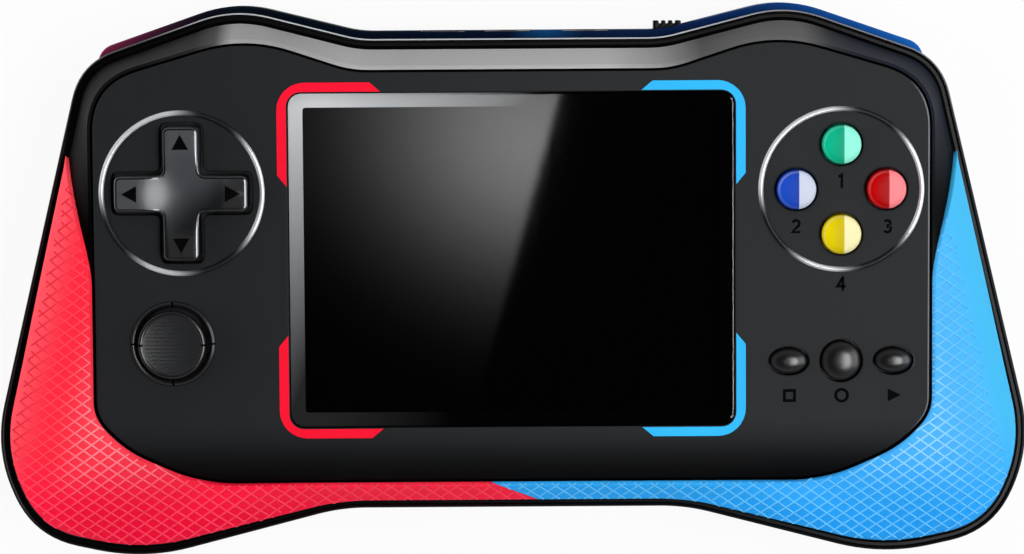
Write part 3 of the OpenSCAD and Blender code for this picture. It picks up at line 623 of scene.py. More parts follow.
@dataclass(frozen=True)
class PrintedFrame(Finish):
    """The silver print under the lens with a painted reflection: bright at the upper left and dark at the lower right.
    """

    left: float
    top: float
    roughness: float = 0.5
    grain: float = 0.15
    stops: Stops = ((0.0, "020203"), (0.55, "bcbdbe"), (0.97, "f6f6f6"))

    def make(self) -> bpy.types.Material:
        """Makes the material.

        Returns:
            The material.
        """
        paint = Paint(self.name)
        x, y, _ = paint.axes()
        speck = paint.noise(self.grain)
        across = x - self.left
        # Painted reflection, fading from the upper left.
        share = (1 - (self.top - y) / 64) ** 1.8 - across / 42
        share = share.math("MAXIMUM", share, 0.03 - across / 900)
        silver = paint.shade(paint.ramp(share, self.stops), 0.95 + speck * 0.1)
        return paint.close(silver, self.roughness + speck * 0.08, gloss=0.0)


@dataclass(frozen=True)
class LensGlass(Finish):
    """The clear lens, see-through and glossy on its front."""

    shine: float = 1.0
    most: float = 0.12
    tint: tuple[float, float, float, float] = (0.98, 0.985, 0.99, 1.0)
    roughness: float = 0.03
    ior: float = 1.56
    patch: float = 24.0

    def make(self) -> bpy.types.Material:
        """Makes the material.

        Returns:
            The material.
        """
        paint = Paint(self.name)
        cloud = paint.noise(self.patch)
        clear = paint.node("ShaderNodeBsdfTransparent", {}, {"Color": self.tint})
        gloss = paint.node("ShaderNodeBsdfGlossy", {}, {"Color": WHITE, "Roughness": self.roughness})
        edge = paint.node("ShaderNodeFresnel", {}, {"IOR": self.ior})
        edge = edge.math("MINIMUM", edge, self.most) * (0.97 + cloud * 0.06) * self.shine
        return paint.end(paint.node("ShaderNodeMixShader", {}, {0: edge, 1: clear, 2: gloss}))


@dataclass(frozen=True)
class BoardLacquer(Finish):
    """A circuit board's lacquer with its tracks and pads."""

    green: str = "0c4a2c"
    track: str = "1c7a4a"
    gold: str = "c8a850"
    roughness: float = 0.35
    depth: float = 0.02

    def make(self) -> bpy.types.Material:
        """Makes the material.

        Returns:
            The material.
        """
        paint = Paint(self.name)
        tracks = paint.node("ShaderNodeTexBrick", {"offset": 0.35},
                            {"Vector": paint.spot, "Scale": 120.0, "Mortar Size": 0.035}, "Fac")
        pads = paint.node("ShaderNodeTexVoronoi", {}, {"Vector": paint.spot, "Scale": 260.0}, "Distance")
        pad = 1 - pads.step(0.16, 0.2)
        colour = paint.mix(pad * 0.8, paint.mix(tracks * 0.6, self.green, self.track), self.gold)
        return paint.close(colour, self.roughness + pads * 0.1, tracks + pad, self.depth, metal=pad * 0.8)


@dataclass(frozen=True)
class RingChrome(Finish):
    """Chrome of a trim ring, with painted dark reflections at a few places round it."""

    centre: Flat
    dark_reflection_turns: tuple[float, ...] = (64.0, -62.0, 212.0)
    bright: str = "e4e6ea"
    dark_reflection: str = "17181a"
    metal: float = 0.4
    roughness: float = 0.26
    grain: float = 0.4
    depth: float = 0.001

    def make(self) -> bpy.types.Material:
        """Makes the material.

        Returns:
            The material.
        """
        paint = Paint(self.name)
        across, up, far = paint.around(self.centre)
        dark_reflection: Operand = 0.0
        # Painted dark reflections in arcs at the given turns.
        for turn in map(math.radians, self.dark_reflection_turns):
            dark_reflection = dark_reflection + ((across * math.cos(turn) + up * math.sin(turn)) / far).step(0.8, 0.985)
        drawn = paint.noise(self.grain)
        colour = paint.mix(dark_reflection, self.bright, self.dark_reflection)
        roughness = self.roughness + drawn * 0.06 + dark_reflection * 0.2
        return paint.close(colour, roughness, drawn, self.depth, metal=self.metal)


GLOSS_BLACK = Plastic("gloss_black", "050506", roughness=0.26, depth=0.003, gloss=0.2)
EDGE_GREY = Metal("pad_edge_polish", "7a7c80", roughness=0.22, lines=0.5)
STEEL = Metal("screw_steel", "a4a8ac", roughness=0.3)
BRASS = Metal("contact_spring_brass", "c9a24a", roughness=0.28)
SHELL = ShellFade("shell_fade_gloss")
# Near-black ink for the arrows, and painted shade in the groove, the plate's walls, cut openings and screw crosses.
INK_AND_RECESS_SHADE = Plastic("recess_black", "030304", roughness=0.8, gloss=0.05)


@lru_cache(maxsize=None)
def material(finish: Finish) -> bpy.types.Material:
    """The material of a finish, made once."""
    return finish.make()


class Outline:
    """A closed outline of straight runs and rounded corners, clockwise from the top."""

    def __init__(self, corners: Sequence[Corner], arc: int = 10, mid: int = 6) -> None:
        """Keeps the outline's measures.

        Args:
            corners: X, y and fillet length of each corner.
            arc: Steps of each fillet.
            mid: Points inside each straight.
        """
        self.corners = list(corners)
        self.arc = arc
        self.mid = mid

    @classmethod
    def mirrored(cls, right: Sequence[Corner], arc: int = 10, mid: int = 6) -> "Outline":
        """An outline from its right half."""
        return cls([*right, *[(-x, y, f) for x, y, f in reversed(right)]], arc, mid)

    @property
    def per_corner(self) -> int:
        """Points that belong to each corner and the straight after it."""
        return self.arc + 1 + self.mid

    def inset(self, gap: float) -> "Outline":
        """The same outline moved inwards.

        Args:
            gap: Distance in millimetres; a negative one moves it outwards.

        Returns:
            The moved outline, with its fillets shortened or lengthened to match.
        """
        moved: list[Corner] = []
        for index, (x, y, fillet) in enumerate(self.corners):
            point = Vector((x, y))
            before = Vector(self.corners[index - 1][:2])
            after = Vector(self.corners[(index + 1) % len(self.corners)][:2])
            into = (point - before).normalized()
            away = (after - point).normalized()
            turn = math.atan2(away.x * into.y - away.y * into.x, into.dot(away))
            shift = Vector((into.y + away.y, -into.x - away.x)) * (gap / (1 + into.dot(away)))
            length = max(0.5 * fillet, fillet - gap * math.tan(turn / 2))
            moved.append((x + shift.x, y + shift.y, length))
        return Outline(moved, self.arc, self.mid)

    def points(self) -> list[Vector]:
        """The outline's points in the plane.

        Returns:
            The points.
        """
        found: list[Vector] = []
        for index, (x, y, fillet) in enumerate(self.corners):
            point = Vector((x, y))
            following = self.corners[(index + 1) % len(self.corners)]
            back = (Vector(self.corners[index - 1][:2]) - point).normalized()
            ahead = (Vector(following[:2]) - point).normalized()
            first, last = point + back * fillet, point + ahead * fillet
            target = Vector(following[:2]) - ahead * following[2]
            for k in range(self.arc + 1):
                f = k / self.arc
                found.append(first.lerp(point, f).lerp(point.lerp(last, f), f))
            for k in range(1, self.mid + 1):
                found.append(last.lerp(target, k / (self.mid + 1)))
        return found

    def ring(self, gap: float, z: float) -> list[Vector]:
        """The points of the inset outline at a level."""
        return lifted(self.inset(gap).points(), z)


def lifted(points: Iterable[Vector], z: float) -> list[Vector]:
    """Points of the plane, taken to a level."""
    return [p.to_3d() + Vector((0, 0, z)) for p in points]


def arc_points(centre: Flat, radius: float, count: int = 64) -> list[Vector]:
    """Points of a circle in the plane."""
    return ellipse_points(centre, radius, radius, count)


def ellipse_points(centre: Flat, across: float, up: float, count: int = 64) -> list[Vector]:
    """Points of an ellipse in the plane, from half its width and half its height."""
    turns = [2 * math.pi * k / count for k in range(count)]
    return [Vector((centre[0] + across * math.cos(a), centre[1] + up * math.sin(a))) for a in turns]


def rounded_points(centre: Flat, width: float, height: float, radius: float) -> list[Vector]:
    """Points of a rectangle with round corners.

    Args:
        centre: Its middle.
        width: Its width.
        height: Its height.
        radius: Radius of its corners.

    Returns:
        The points, anticlockwise.
    """
    found: list[Vector] = []
    for quarter in range(4):
        middle = Vector((centre[0] + (width / 2 - radius) * (1 if quarter in (0, 3) else -1),
                         centre[1] + (height / 2 - radius) * (1 if quarter < 2 else -1)))
        for k in range(9):
            a = math.pi / 2 * (quarter + k / 8)
            found.append(middle + radius * Vector((math.cos(a), math.sin(a))))
    return found


def shifted(points: Sequence[Vector], gap: float) -> list[Vector]:
    """Moves a closed row of points to the left of its direction.

    Args:
        points: The row.
        gap: How far it moves.

    Returns:
        The moved row.
    """
    moved: list[Vector] = []
    for index, point in enumerate(points):
        into = (point - points[index - 1]).normalized()
        away = (points[(index + 1) % len(points)] - point).normalized()
        share = gap / max(0.3, 1 + into.dot(away))
        moved.append(point + Vector((-into.y - away.y, into.x + away.x)) * share)
    return moved


def ribbon(path: Sequence[Vector], width: float) -> list[Vector]:
    """Contour of a stroke of even width.

    Args:
        path: The stroke's middle line.
        width: Its width.

    Returns:
        The contour's points, down one side and back up the other.
    """
    left: list[Vector] = []
    right: list[Vector] = []
    for index, point in enumerate(path):
        into = (point - path[max(index - 1, 0)]).normalized()
        away = (path[min(index + 1, len(path) - 1)] - point).normalized()
        first, last = into if index else away, away if index < len(path) - 1 else into
        lean = Vector((-first.y - last.y, first.x + last.x)) * (width / 2 / max(0.5, 1 + first.dot(last)))
        left.append(point + lean)
        right.append(point - lean)
    return left + right[::-1]


def loft(bm: bmesh.types.BMesh, rings: Sequence[Sequence[Vector]], closed: bool = False,
         slots: Sequence[int] = ()) -> list[list[bmesh.types.BMVert]]:
    """Joins rings of equal length with faces.

    Args:
        bm: The mesh that gets the faces.
        rings: The rings in order.
        closed: Whether the last ring joins the first.
        slots: Material slot of each strip, or nothing for the first slot.

    Returns:
        The vertices of each ring.
    """
    rows = [[bm.verts.new(p) for p in ring] for ring in rings]
    for k in range(len(rows) if closed else len(rows) - 1):
        low, high = rows[k], rows[(k + 1) % len(rows)]
        for i in range(len(low)):
            j = (i + 1) % len(low)
            face = bm.faces.new((low[i], low[j], high[j], high[i]))
            face.material_index = slots[k] if slots else 0
    return rows


def lathe(bm: bmesh.types.BMesh, centre: Flat, profile: Sequence[Flat], count: int = 64,
          slots: Sequence[int] = ()) -> None:
    """Turns a closed profile of radius and level about an upright axis, with a slot for each strip."""
    loft(bm, [lifted(arc_points(centre, radius, count), z) for radius, z in profile],
         closed=profile[0][0] > 0, slots=slots)


def slab(bm: bmesh.types.BMesh, contours: Sequence[Sequence[Vector]], levels: Sequence[Flat],
         slots: Sequence[int] = ()) -> None:
    """Builds a plate with holes and shaped edges.

    Args:
        bm: The mesh that gets the plate.
        contours: The outer contour, then the holes.
        levels: Inset of the edge and level, from the underside to the top.
        slots: Material slot of each strip of the edge, or nothing for the first slot.
    """
    ends: list[list[bmesh.types.BMEdge]] = [[], []]
    for index, contour in enumerate(contours):
        area = sum(a.x * b.y - b.x * a.y for a, b in zip(contour, [*contour[1:], contour[0]]))
        row = list(contour) if (area > 0) == (index == 0) else list(reversed(contour))
        rows = loft(bm, [lifted(shifted(row, gap), z) for gap, z in levels], slots=slots)
        for end, verts in zip(ends, (rows[0], rows[-1])):
            end.extend(bm.edges.get((a, b)) for a, b in zip(verts, [*verts[1:], verts[0]]))
    for edges in ends:
        bmesh.ops.triangle_fill(bm, use_beauty=True, edges=edges)


def soft_levels(low: float, high: float, bevel: float) -> list[Flat]:
    """Levels of a plate whose upper edge is rounded by a bevel."""
    turns = [math.pi / 2 * k / 3 for k in range(4)]
    return [(0.0, low), *[(bevel * (1 - math.cos(a)), high - bevel * (1 - math.sin(a))) for a in turns]]


def scored(bm: bmesh.types.BMesh, place: Sequence[float], normal: Sequence[float]) -> None:
    """Adds edges to a mesh where a plane meets it."""
    bmesh.ops.bisect_plane(bm, geom=[*bm.verts, *bm.edges, *bm.faces], dist=1e-4, plane_co=place, plane_no=normal)


def box(bm: bmesh.types.BMesh, low: Sequence[float], high: Sequence[float]) -> None:
    """Adds a block.

    Args:
        bm: The mesh that gets the block.
        low: Its lowest corner.
        high: Its highest corner.
    """
    middle = [(a + b) / 2 for a, b in zip(low, high)]
    size = [b - a for a, b in zip(low, high)]
    place = Matrix.Translation(middle) @ Matrix.Diagonal((*size, 1.0))
    bmesh.ops.create_cube(bm, size=1.0, matrix=place)


def shape(name: str, bm: bmesh.types.BMesh, finishes: Sequence[Finish], crease: float = 35.0) -> bpy.types.Object:
    """Closes a mesh in millimetres and makes it an object in metres.

    Args:
        name: The object's name.
        bm: The mesh, which is used up.
        finishes: The finishes of its slots.
        crease: Angle in degrees past which an edge is sharp.

    Returns:
        The object, at the origin.
    """
    bmesh.ops.remove_doubles(bm, verts=bm.verts, dist=0.0005)
    bmesh.ops.recalc_face_normals(bm, faces=bm.faces)
    bmesh.ops.scale(bm, vec=(MM, MM, MM), verts=bm.verts)
    mesh = bpy.data.meshes.new(name)
    bm.to_mesh(mesh)
    bm.free()
    return present(name, mesh, finishes, crease)


def smooth(mesh: bpy.types.Mesh, crease: float) -> None:
    """Shades a mesh smooth, apart from the edges past an angle in degrees."""
    mesh.shade_smooth()
    mesh.set_sharp_from_angle(angle=math.radians(crease))


def baked(piece: bpy.types.Object) -> bpy.types.Mesh:
    """Takes off a piece's modifiers.

    Args:
        piece: The piece.

    Returns:
        The plain mesh that they gave.
    """
    graph = bpy.context.evaluated_depsgraph_get()
    mesh = bpy.data.meshes.new_from_object(piece.evaluated_get(graph))
    piece.modifiers.clear()
    return mesh


def present(name: str, mesh: bpy.types.Mesh, finishes: Sequence[Finish], crease: float) -> bpy.types.Object:
    """Puts a finished mesh into the scene with its materials and smooth faces.

    Args:
        name: The object's name.
        mesh: The mesh.
        finishes: The finishes of its slots, where it has none yet.
        crease: Angle in degrees past which an edge is sharp.

    Returns:
        The object.
    """
    if not mesh.materials:
        for finish in finishes:
            mesh.materials.append(material(finish))
    smooth(mesh, crease)
    made = bpy.data.objects.new(name, mesh)
    bpy.context.scene.collection.objects.link(made)
    return made


def carve(piece: bpy.types.Object, cutter: bmesh.types.BMesh) -> None:
    """Cuts a shape in millimetres out of a piece.

    Args:
        piece: The piece.
        cutter: The shape, which is used up.
    """
    # The cut faces take the cutter's near-black, as painted shade inside the openings.
    tool = shape(piece.name + "_cutter", cutter, [INK_AND_RECESS_SHADE])
    cut = piece.modifiers.new("cut", "BOOLEAN")
    cut.object = tool
    cut.solver = "EXACT"
    cut.material_mode = "TRANSFER"
    old = piece.data
    piece.data = baked(piece)
    bpy.data.meshes.remove(old)
    bpy.data.objects.remove(tool)
    smooth(piece.data, CREASE)


def softened(name: str, node: str, bevel: float, finishes: Sequence[Finish]) -> bpy.types.Object:
    """A copy of a frame solid with its sharp edges rounded.

    Args:
        name: The new piece's name.
        node: The frame's node.
        bevel: Width of the rounding in millimetres.
        finishes: The finishes of its slots.

    Returns:
        The piece.
    """
    bm = bmesh.new()
    bm.from_mesh(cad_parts[node].data)
    bmesh.ops.scale(bm, vec=(1 / MM, 1 / MM, 1 / MM), verts=bm.verts)
    bmesh.ops.remove_doubles(bm, verts=bm.verts, dist=0.001)
    bmesh.ops.dissolve_limit(bm, angle_limit=math.radians(1.0), verts=bm.verts, edges=bm.edges)
    sharp = [e for e in bm.edges if len(e.link_faces) == 2 and e.calc_face_angle(0.0) > math.radians(30)]
    bmesh.ops.bevel(bm, geom=sharp, offset=bevel, segments=2, profile=0.5, affect="EDGES", clamp_overlap=True)
    for face in bm.faces:
        face.material_index = 0
    return shape(name, bm, finishes)


class Growth(Graph):
    """A Geometry Nodes tree that runs once on a base mesh and is baked to a plain mesh."""

    def __init__(self, name: str) -> None:
        """Starts an empty tree.

        Args:
            name: The tree's name.
        """
        super().__init__(bpy.data.node_groups.new(name, "GeometryNodeTree"))
        for way in ("INPUT", "OUTPUT"):
            self.tree.interface.new_socket("Geometry", in_out=way, socket_type="NodeSocketGeometry")
        self.source = self.tree.nodes.new("NodeGroupInput")
        self.values: dict[str, object] = {}

    def base(self) -> Wire:
        """The mesh that the tree runs on."""
        return Wire(self, self.source.outputs["Geometry"])

    def size(self, name: str, value: object, kind: str = "NodeSocketFloat") -> Wire:
        """Adds a named input.

        Args:
            name: The input's name.
            value: Its value on this piece.
            kind: Its socket type.

        Returns:
            The input as a wire.
        """
        item = self.tree.interface.new_socket(name, in_out="INPUT", socket_type=kind)
        self.values[item.identifier] = value
        return Wire(self, self.source.outputs[name])

    def vector(self, x: Operand, y: Operand, z: Operand = 0.0) -> Wire:
        """A vector from three values."""
        return self.node("ShaderNodeCombineXYZ", {}, {0: x, 1: y, 2: z})

    def compare(self, operation: str, first: Wire, second: Operand) -> Wire:
        """Whether a value is above or below another."""
        return self.node("FunctionNodeCompare", {"data_type": "FLOAT", "operation": operation}, {0: first, 1: second})

    def circle(self, count: int, name: str, radius: float) -> Wire:
        """A circle whose radius in millimetres is a named input."""
        return self.node("GeometryNodeCurvePrimitiveCircle", {}, {
            "Resolution": count, "Radius": self.size(name, radius * MM)}, "Curve")

    def repeated(self, points: Wire, part: Wire) -> Wire:
        """A shape on each point."""
        return self.node("GeometryNodeInstanceOnPoints", {}, {"Points": points, "Instance": part})

    def moved(self, part: Wire, middle: Sequence[float]) -> Wire:
        """A shape at a middle in millimetres, which is a named input."""
        place = self.size("Middle", tuple(c * MM for c in middle), "NodeSocketVector")
        return self.node("GeometryNodeTransform", {}, {"Geometry": part, "Translation": place})

    def bake(self, name: str, grown: Wire, base: bpy.types.Mesh, finish: Finish) -> bpy.types.Object:
        """Ends the tree, runs it and keeps the result.

        Args:
            name: Name of the piece.
            grown: The tree's geometry.
            base: The mesh that it runs on.
            finish: The finish of the result.

        Returns:
            The piece as a plain mesh.
        """
        real = self.node("GeometryNodeRealizeInstances", {}, {"Geometry": grown})
        dressed = self.node("GeometryNodeSetMaterial", {}, {"Geometry": real, "Material": material(finish)})
        sink = self.tree.nodes.new("NodeGroupOutput")
        self.tree.links.new(dressed.socket, sink.inputs["Geometry"])
        carrier = bpy.data.objects.new(name + "_carrier", base)
        bpy.context.scene.collection.objects.link(carrier)
        run = carrier.modifiers.new(name, "NODES")
        run.node_group = self.tree
        for identifier, value in self.values.items():
            run[identifier] = value
        mesh = baked(carrier)
        bpy.data.objects.remove(carrier)
        mesh.name = name
        return present(name, mesh, [finish], CREASE)


def point_mesh(name: str, points: Iterable[Sequence[float]] = ((0, 0, 0),)) -> bpy.types.Mesh:
    """A mesh of loose points in millimetres.

    Args:
        name: The mesh's name.
        points: The points, or nothing for one at the origin.

    Returns:
        The mesh.
    """
    mesh = bpy.data.meshes.new(name)
    mesh.from_pydata([tuple(c * MM for c in p) for p in points], [], [])
    return mesh


@dataclass(frozen=True)
class Layout:
    """Outlines and levels that the case's pieces share, in millimetres."""

    rim: Outline = Outline.mirrored([
        (25.6, 41.0, 2.5), (46.8, 46.4, 6.2), (73.0, 37.2, 6.1), (88.8, -28.9, 8.2), (82.2, -43.8, 7.6),
        (63.4, -47.9, 8.3), (29.4, -39.1, 4.3)])
    rear: Outline = Outline.mirrored([
        (25.6, 42.3, 2.5), (46.8, 47.55, 6.2), (69.6, 39.65, 2.0), (88.2, -28.9, 7.6), (81.6, -43.2, 7.0),
        (63.4, -47.3, 8.3), (29.4, -38.5, 4.3)])
    plate: Outline = Outline.mirrored([
        (26.9, 35.6, 3.1), (44.4, 41.4, 8.0), (70.3, 33.7, 7.9), (70.3, -22.2, 2.6), (65.4, -27.5, 4.1),
        (52.6, -33.8, 5.9), (29.4, -33.8, 6.0)])
    rear_top: float = 14.4
    slope_gap: float = 1.6
    slope_z: float = 17.3
    slope_inner: Flat = (-0.9, 0.4)
    swell_most: float = 0.25
    swell_from: float = 4.0
    swell_run: float = 24.0
    plate_top: float = 24.0
    plate_t: float = 2.0
    plate_low: float = -33.8
    roll_run: float = 7.0
    roll_drop: float = 3.5
    lens: Flat = (0.0, 3.9)
    lens_w: float = 74.9
    lens_h: float = 56.3
    lens_r: float = 2.2
    controls: Flat = (55.4, 15.5)
    stick: Flat = (-57.2, -9.9)
    system_y: float = -13.5

    def top_at(self, y: float) -> float:
        """Level of the face plate's top, which rolls down at its lower edge."""
        share = min(1.0, max(0.0, self.plate_low + self.roll_run - y) / self.roll_run)
        return self.plate_top - self.roll_drop * share ** 2

    def followed(self, gap: float, depth: float) -> list[Vector]:
        """The plate's inset outline at a depth below its top."""
        return [p.to_3d() + Vector((0, 0, self.top_at(p.y) - depth)) for p in self.plate.inset(gap).points()]

    def slope_ends(self) -> tuple[list[Vector], list[Vector]]:
        """The outer and the inner ring of the sloped front."""
        return self.rim.ring(self.slope_gap, self.slope_z), self.followed(*self.slope_inner)

    def swell(self, run: float) -> float:
        """How much of its rise the sloped front swells by, from its run across."""
        return min(self.swell_most, max(0.0, run - self.swell_from) / self.swell_run)

    def slope_point(self, low: Vector, high: Vector, share: float) -> Vector:
        """A point of the sloped front between its two rings, with its swell."""
        rise = (high.z - low.z) * self.swell((high - low).to_2d().length) * math.sin(math.pi * share)
        return low.lerp(high, share) + Vector((0, 0, rise))

    def slope_normal(self, low: Vector, high: Vector, share: float) -> Vector:
        """The direction that the sloped front faces at a point.

        Args:
            low: Point of its outer ring.
            high: Point of its inner ring.
            share: How far the point is from the one to the other.

        Returns:
            The direction.
        """
        run = (high - low).to_2d()
        climb = (high.z - low.z) * (1 + self.swell(run.length) * math.pi * math.cos(math.pi * share))
        flat = run.normalized()
        return Vector((-climb * flat.x, -climb * flat.y, run.length)).normalized()


LAYOUT = Layout()


class SubAssembly:
    """A group of pieces that belong together on the object."""

    def place(self, piece: bpy.types.Object, slot: str, *nodes: str, body: str = "case") -> None:
        """Hands a piece to the frame.

        Args:
            piece: The finished piece.
            slot: The record's material slot; not used.
            nodes: The frame's nodes that it stands for.
            body: The body that it rides on.
        """
        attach(piece, body)
        if nodes:
            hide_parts(*nodes)
        LOG.info("%s: %d faces on %s", piece.name, len(piece.data.polygons), body)

    def dress(self, node: str, finish: Finish) -> None:
        """Gives a kept node of the frame its finish.

        Args:
            node: The node.
            finish: The finish.
        """
        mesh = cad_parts[node].data
        mesh.materials.clear()
        mesh.materials.append(material(finish))
        LOG.info("%s: frame node with %s", node, finish.name)

    def build(self) -> None:
        """Builds and dresses the pieces."""
        raise NotImplementedError


@dataclass
class FrontHousing(SubAssembly):
    """The black frame with its channel, a rim line with a painted highlight, a satin sloped top edge with a painted
    sheen and painted highlight lines, and painted shade in the groove along the plate.
    """

    slope_steps: int = 12
    dark_share: float = 0.06
    edge_share: float = 0.06
    rim: tuple[Flat, ...] = ((0.0, 14.4), (0.0, 16.7), (0.07, 16.93), (0.22, 17.1), (0.42, 17.2), (0.58, 17.12),
                             (0.7, 16.7), (1.2, 16.7))
    ledge: tuple[Flat, ...] = ((-0.4, 0.4), (-0.4, 2.1), (1.6, 2.1), (1.6, 3.6))
    underside: tuple[Flat, ...] = ((3.0, 16.0), (2.2, 14.4))

    def build(self) -> None:
        """Lofts the housing and places it."""
        low, high = LAYOUT.slope_ends()
        start = self.dark_share + self.edge_share
        inner = [start + (1 - start - self.edge_share) * k / self.slope_steps for k in range(self.slope_steps + 1)]
        rings = [LAYOUT.rim.ring(*place) for place in self.rim]
        rings += [[LAYOUT.slope_point(a, b, share) for a, b in zip(low, high)]
                  for share in (0.0, self.dark_share, *inner, 1.0)]
        rings += [LAYOUT.followed(*place) for place in self.ledge]
        rings += [LAYOUT.rim.ring(*place) for place in self.underside]
        # Slot 1 is the rim's painted highlight, slot 2 the band's painted sheen, slot 3 its painted highlight edges
        # and slot 4 painted shade in the groove.
        slots = [0, 1, 1, *[0] * 6, 3, *[2] * self.slope_steps, 3, 3, *[4] * 3, *[0] * 3]
        bm = bmesh.new()
        loft(bm, rings, closed=True, slots=slots)
        finishes = [GLOSS_BLACK, RimPaintedHighlight("rim_line"), SatinBandPaintedSheen("satin_band", 1.15), SatinBandPaintedSheen("satin_edge", 1.3),
                    INK_AND_RECESS_SHADE]
        self.place(shape("housing", bm, finishes, crease=28.0), "housing_black", "front_housing")


@dataclass
class FacePlate(SubAssembly):
    """The matt black plate with its openings, rolled lower edge and printed marks."""

    bevel: float = 0.3
    roll_cuts: int = 14
    lens_play: float = 0.1
    pad_play: float = 0.6
    stick_hole: float = 6.9
    button_hole: float = 3.6
    oval_hole: Flat = (3.4, 2.4)
    digit_h: float = 2.4
    stroke_w: float = 0.46
    digit_places: tuple[Flat, ...] = ((55.4, 16.9), (47.8, 9.3), (63.2, 9.2), (55.4, -0.4))
    mark_x: tuple[float, float, float] = (46.7, 55.5, 64.4)
    mark_y: float = -19.35
    mark_half: float = 1.1
    square_hole: float = 0.6
    ring: Flat = (1.25, 0.75)
    print_z: Flat = (-0.05, 0.02)

    def openings(self) -> list[list[Vector]]:
        """Contours of the plate's openings.

        Returns:
            The contours.
        """
        x, y, play = LAYOUT.controls[0], LAYOUT.system_y, self.lens_play
        holes = [rounded_points(LAYOUT.lens, LAYOUT.lens_w + 2 * play, LAYOUT.lens_h + 2 * play, LAYOUT.lens_r + play),
                 DirectionPad().contour(self.pad_play), arc_points(LAYOUT.stick, self.stick_hole)]
        holes += [arc_points(place, self.button_hole) for place in (*ActionButtons().places(), (x, y))]
        holes += [ellipse_points((x + s * SystemButtons.pitch, y), *self.oval_hole) for s in (-1, 1)]
        return holes

    def build(self) -> None:
        """Builds the plate and its marks."""
        bm = bmesh.new()
        # Slot 1 paints the walls of the plate and its openings near-black as painted shade.
        slab(bm, [LAYOUT.plate.points(), *self.openings()],
             soft_levels(LAYOUT.plate_top - LAYOUT.plate_t, LAYOUT.plate_top, self.bevel), [1, 1, 2, 2])
        for k in range(self.roll_cuts):
            scored(bm, (0, LAYOUT.plate_low + LAYOUT.roll_run * (k + 0.5) / self.roll_cuts, 0), (0, 1, 0))
        for vert in bm.verts:
            vert.co.z -= LAYOUT.plate_top - LAYOUT.top_at(vert.co.y)
        finishes = [PlateBlack("plate_matt"), INK_AND_RECESS_SHADE, PlateBlack("plate_edge", 0.9)]
        self.place(shape("face_panel", bm, finishes, crease=12.0), "plate_black", "face_plate")
        self.marks()

    def marks(self) -> None:
        """Prints a number by each action button and a plain sign under each system button."""
        bm = bmesh.new()
        levels = [(0.0, LAYOUT.plate_top + rise) for rise in self.print_z]
        for strokes, (x, y) in zip(self.digits(), self.digit_places):
            for stroke in strokes:
                path = [Vector((x + a * self.digit_h, y + b * self.digit_h)) for a, b in stroke]
                slab(bm, [ribbon(path, self.stroke_w)], levels)
        left, middle, right = self.mark_x
        y, half = self.mark_y, self.mark_half
        slab(bm, [[Vector((left + a * h, y + b * h)) for a, b in ((-1, -1), (1, -1), (1, 1), (-1, 1))]
                  for h in (half, self.square_hole)], levels)
        slab(bm, [arc_points((middle, y), radius, 40) for radius in self.ring], levels)
        slab(bm, [[Vector((right + a * half, y + b * half)) for a, b in ((-1, -1), (1, 0), (-1, 1))]], levels)
        ink = Plastic("mark_ink", "020203", roughness=0.7, gloss=0.05)
        self.place(shape("printed_marks", bm, [ink]), "plate_black")

    @staticmethod
    def digits() -> list[list[list[Flat]]]:
        """The strokes of the numbers 1 to 4, for a height of 1 about their middle.

        Returns:
            The strokes of each number.
        """
        def bow(x: float, y: float, r: float, start: float, end: float) -> list[Flat]:
            """Points of an arc between two angles in degrees."""
            turns = [math.radians(start + (end - start) * k / 12) for k in range(13)]
            return [(x + r * math.cos(a), y + r * math.sin(a)) for a in turns]

        two = [*bow(0.0, 0.18, 0.23, 165.0, -35.0), (-0.26, -0.41), (0.28, -0.41)]
        three = [*bow(-0.02, 0.2, 0.21, 150.0, -80.0), *bow(-0.02, -0.18, 0.24, 80.0, -150.0)]
        return [[[(-0.18, 0.28), (0.04, 0.42), (0.04, -0.5)]], [two], [three],
                [[(0.12, 0.5), (0.12, -0.5)], [(0.1, 0.4), (-0.26, -0.2), (0.32, -0.2)]]]


# Each grip's skin and net: outer edge, band, inner part and foot, lit and shaded copies of one colour as painted shade
# and highlight.
GRIP_PAINTED_SHADES = {
    Side.LEFT: (("ff4654", "ff263e", "ff4052", "ff0c3e"), ("e02a40", "ff4456", "ff8e98", "ff4460")),
    Side.RIGHT: (("3cb2e6", "48b4f8", "4ab4fe", "22a6ff"), ("3cb2e6", "62c2fa", "98d8ff", "66c6ff"))}
GRIP_SLOTS = {Side.LEFT: "grip_red", Side.RIGHT: "grip_blue"}
BARE_STRIPS = {Side.LEFT: 2.4, Side.RIGHT: 5.2}


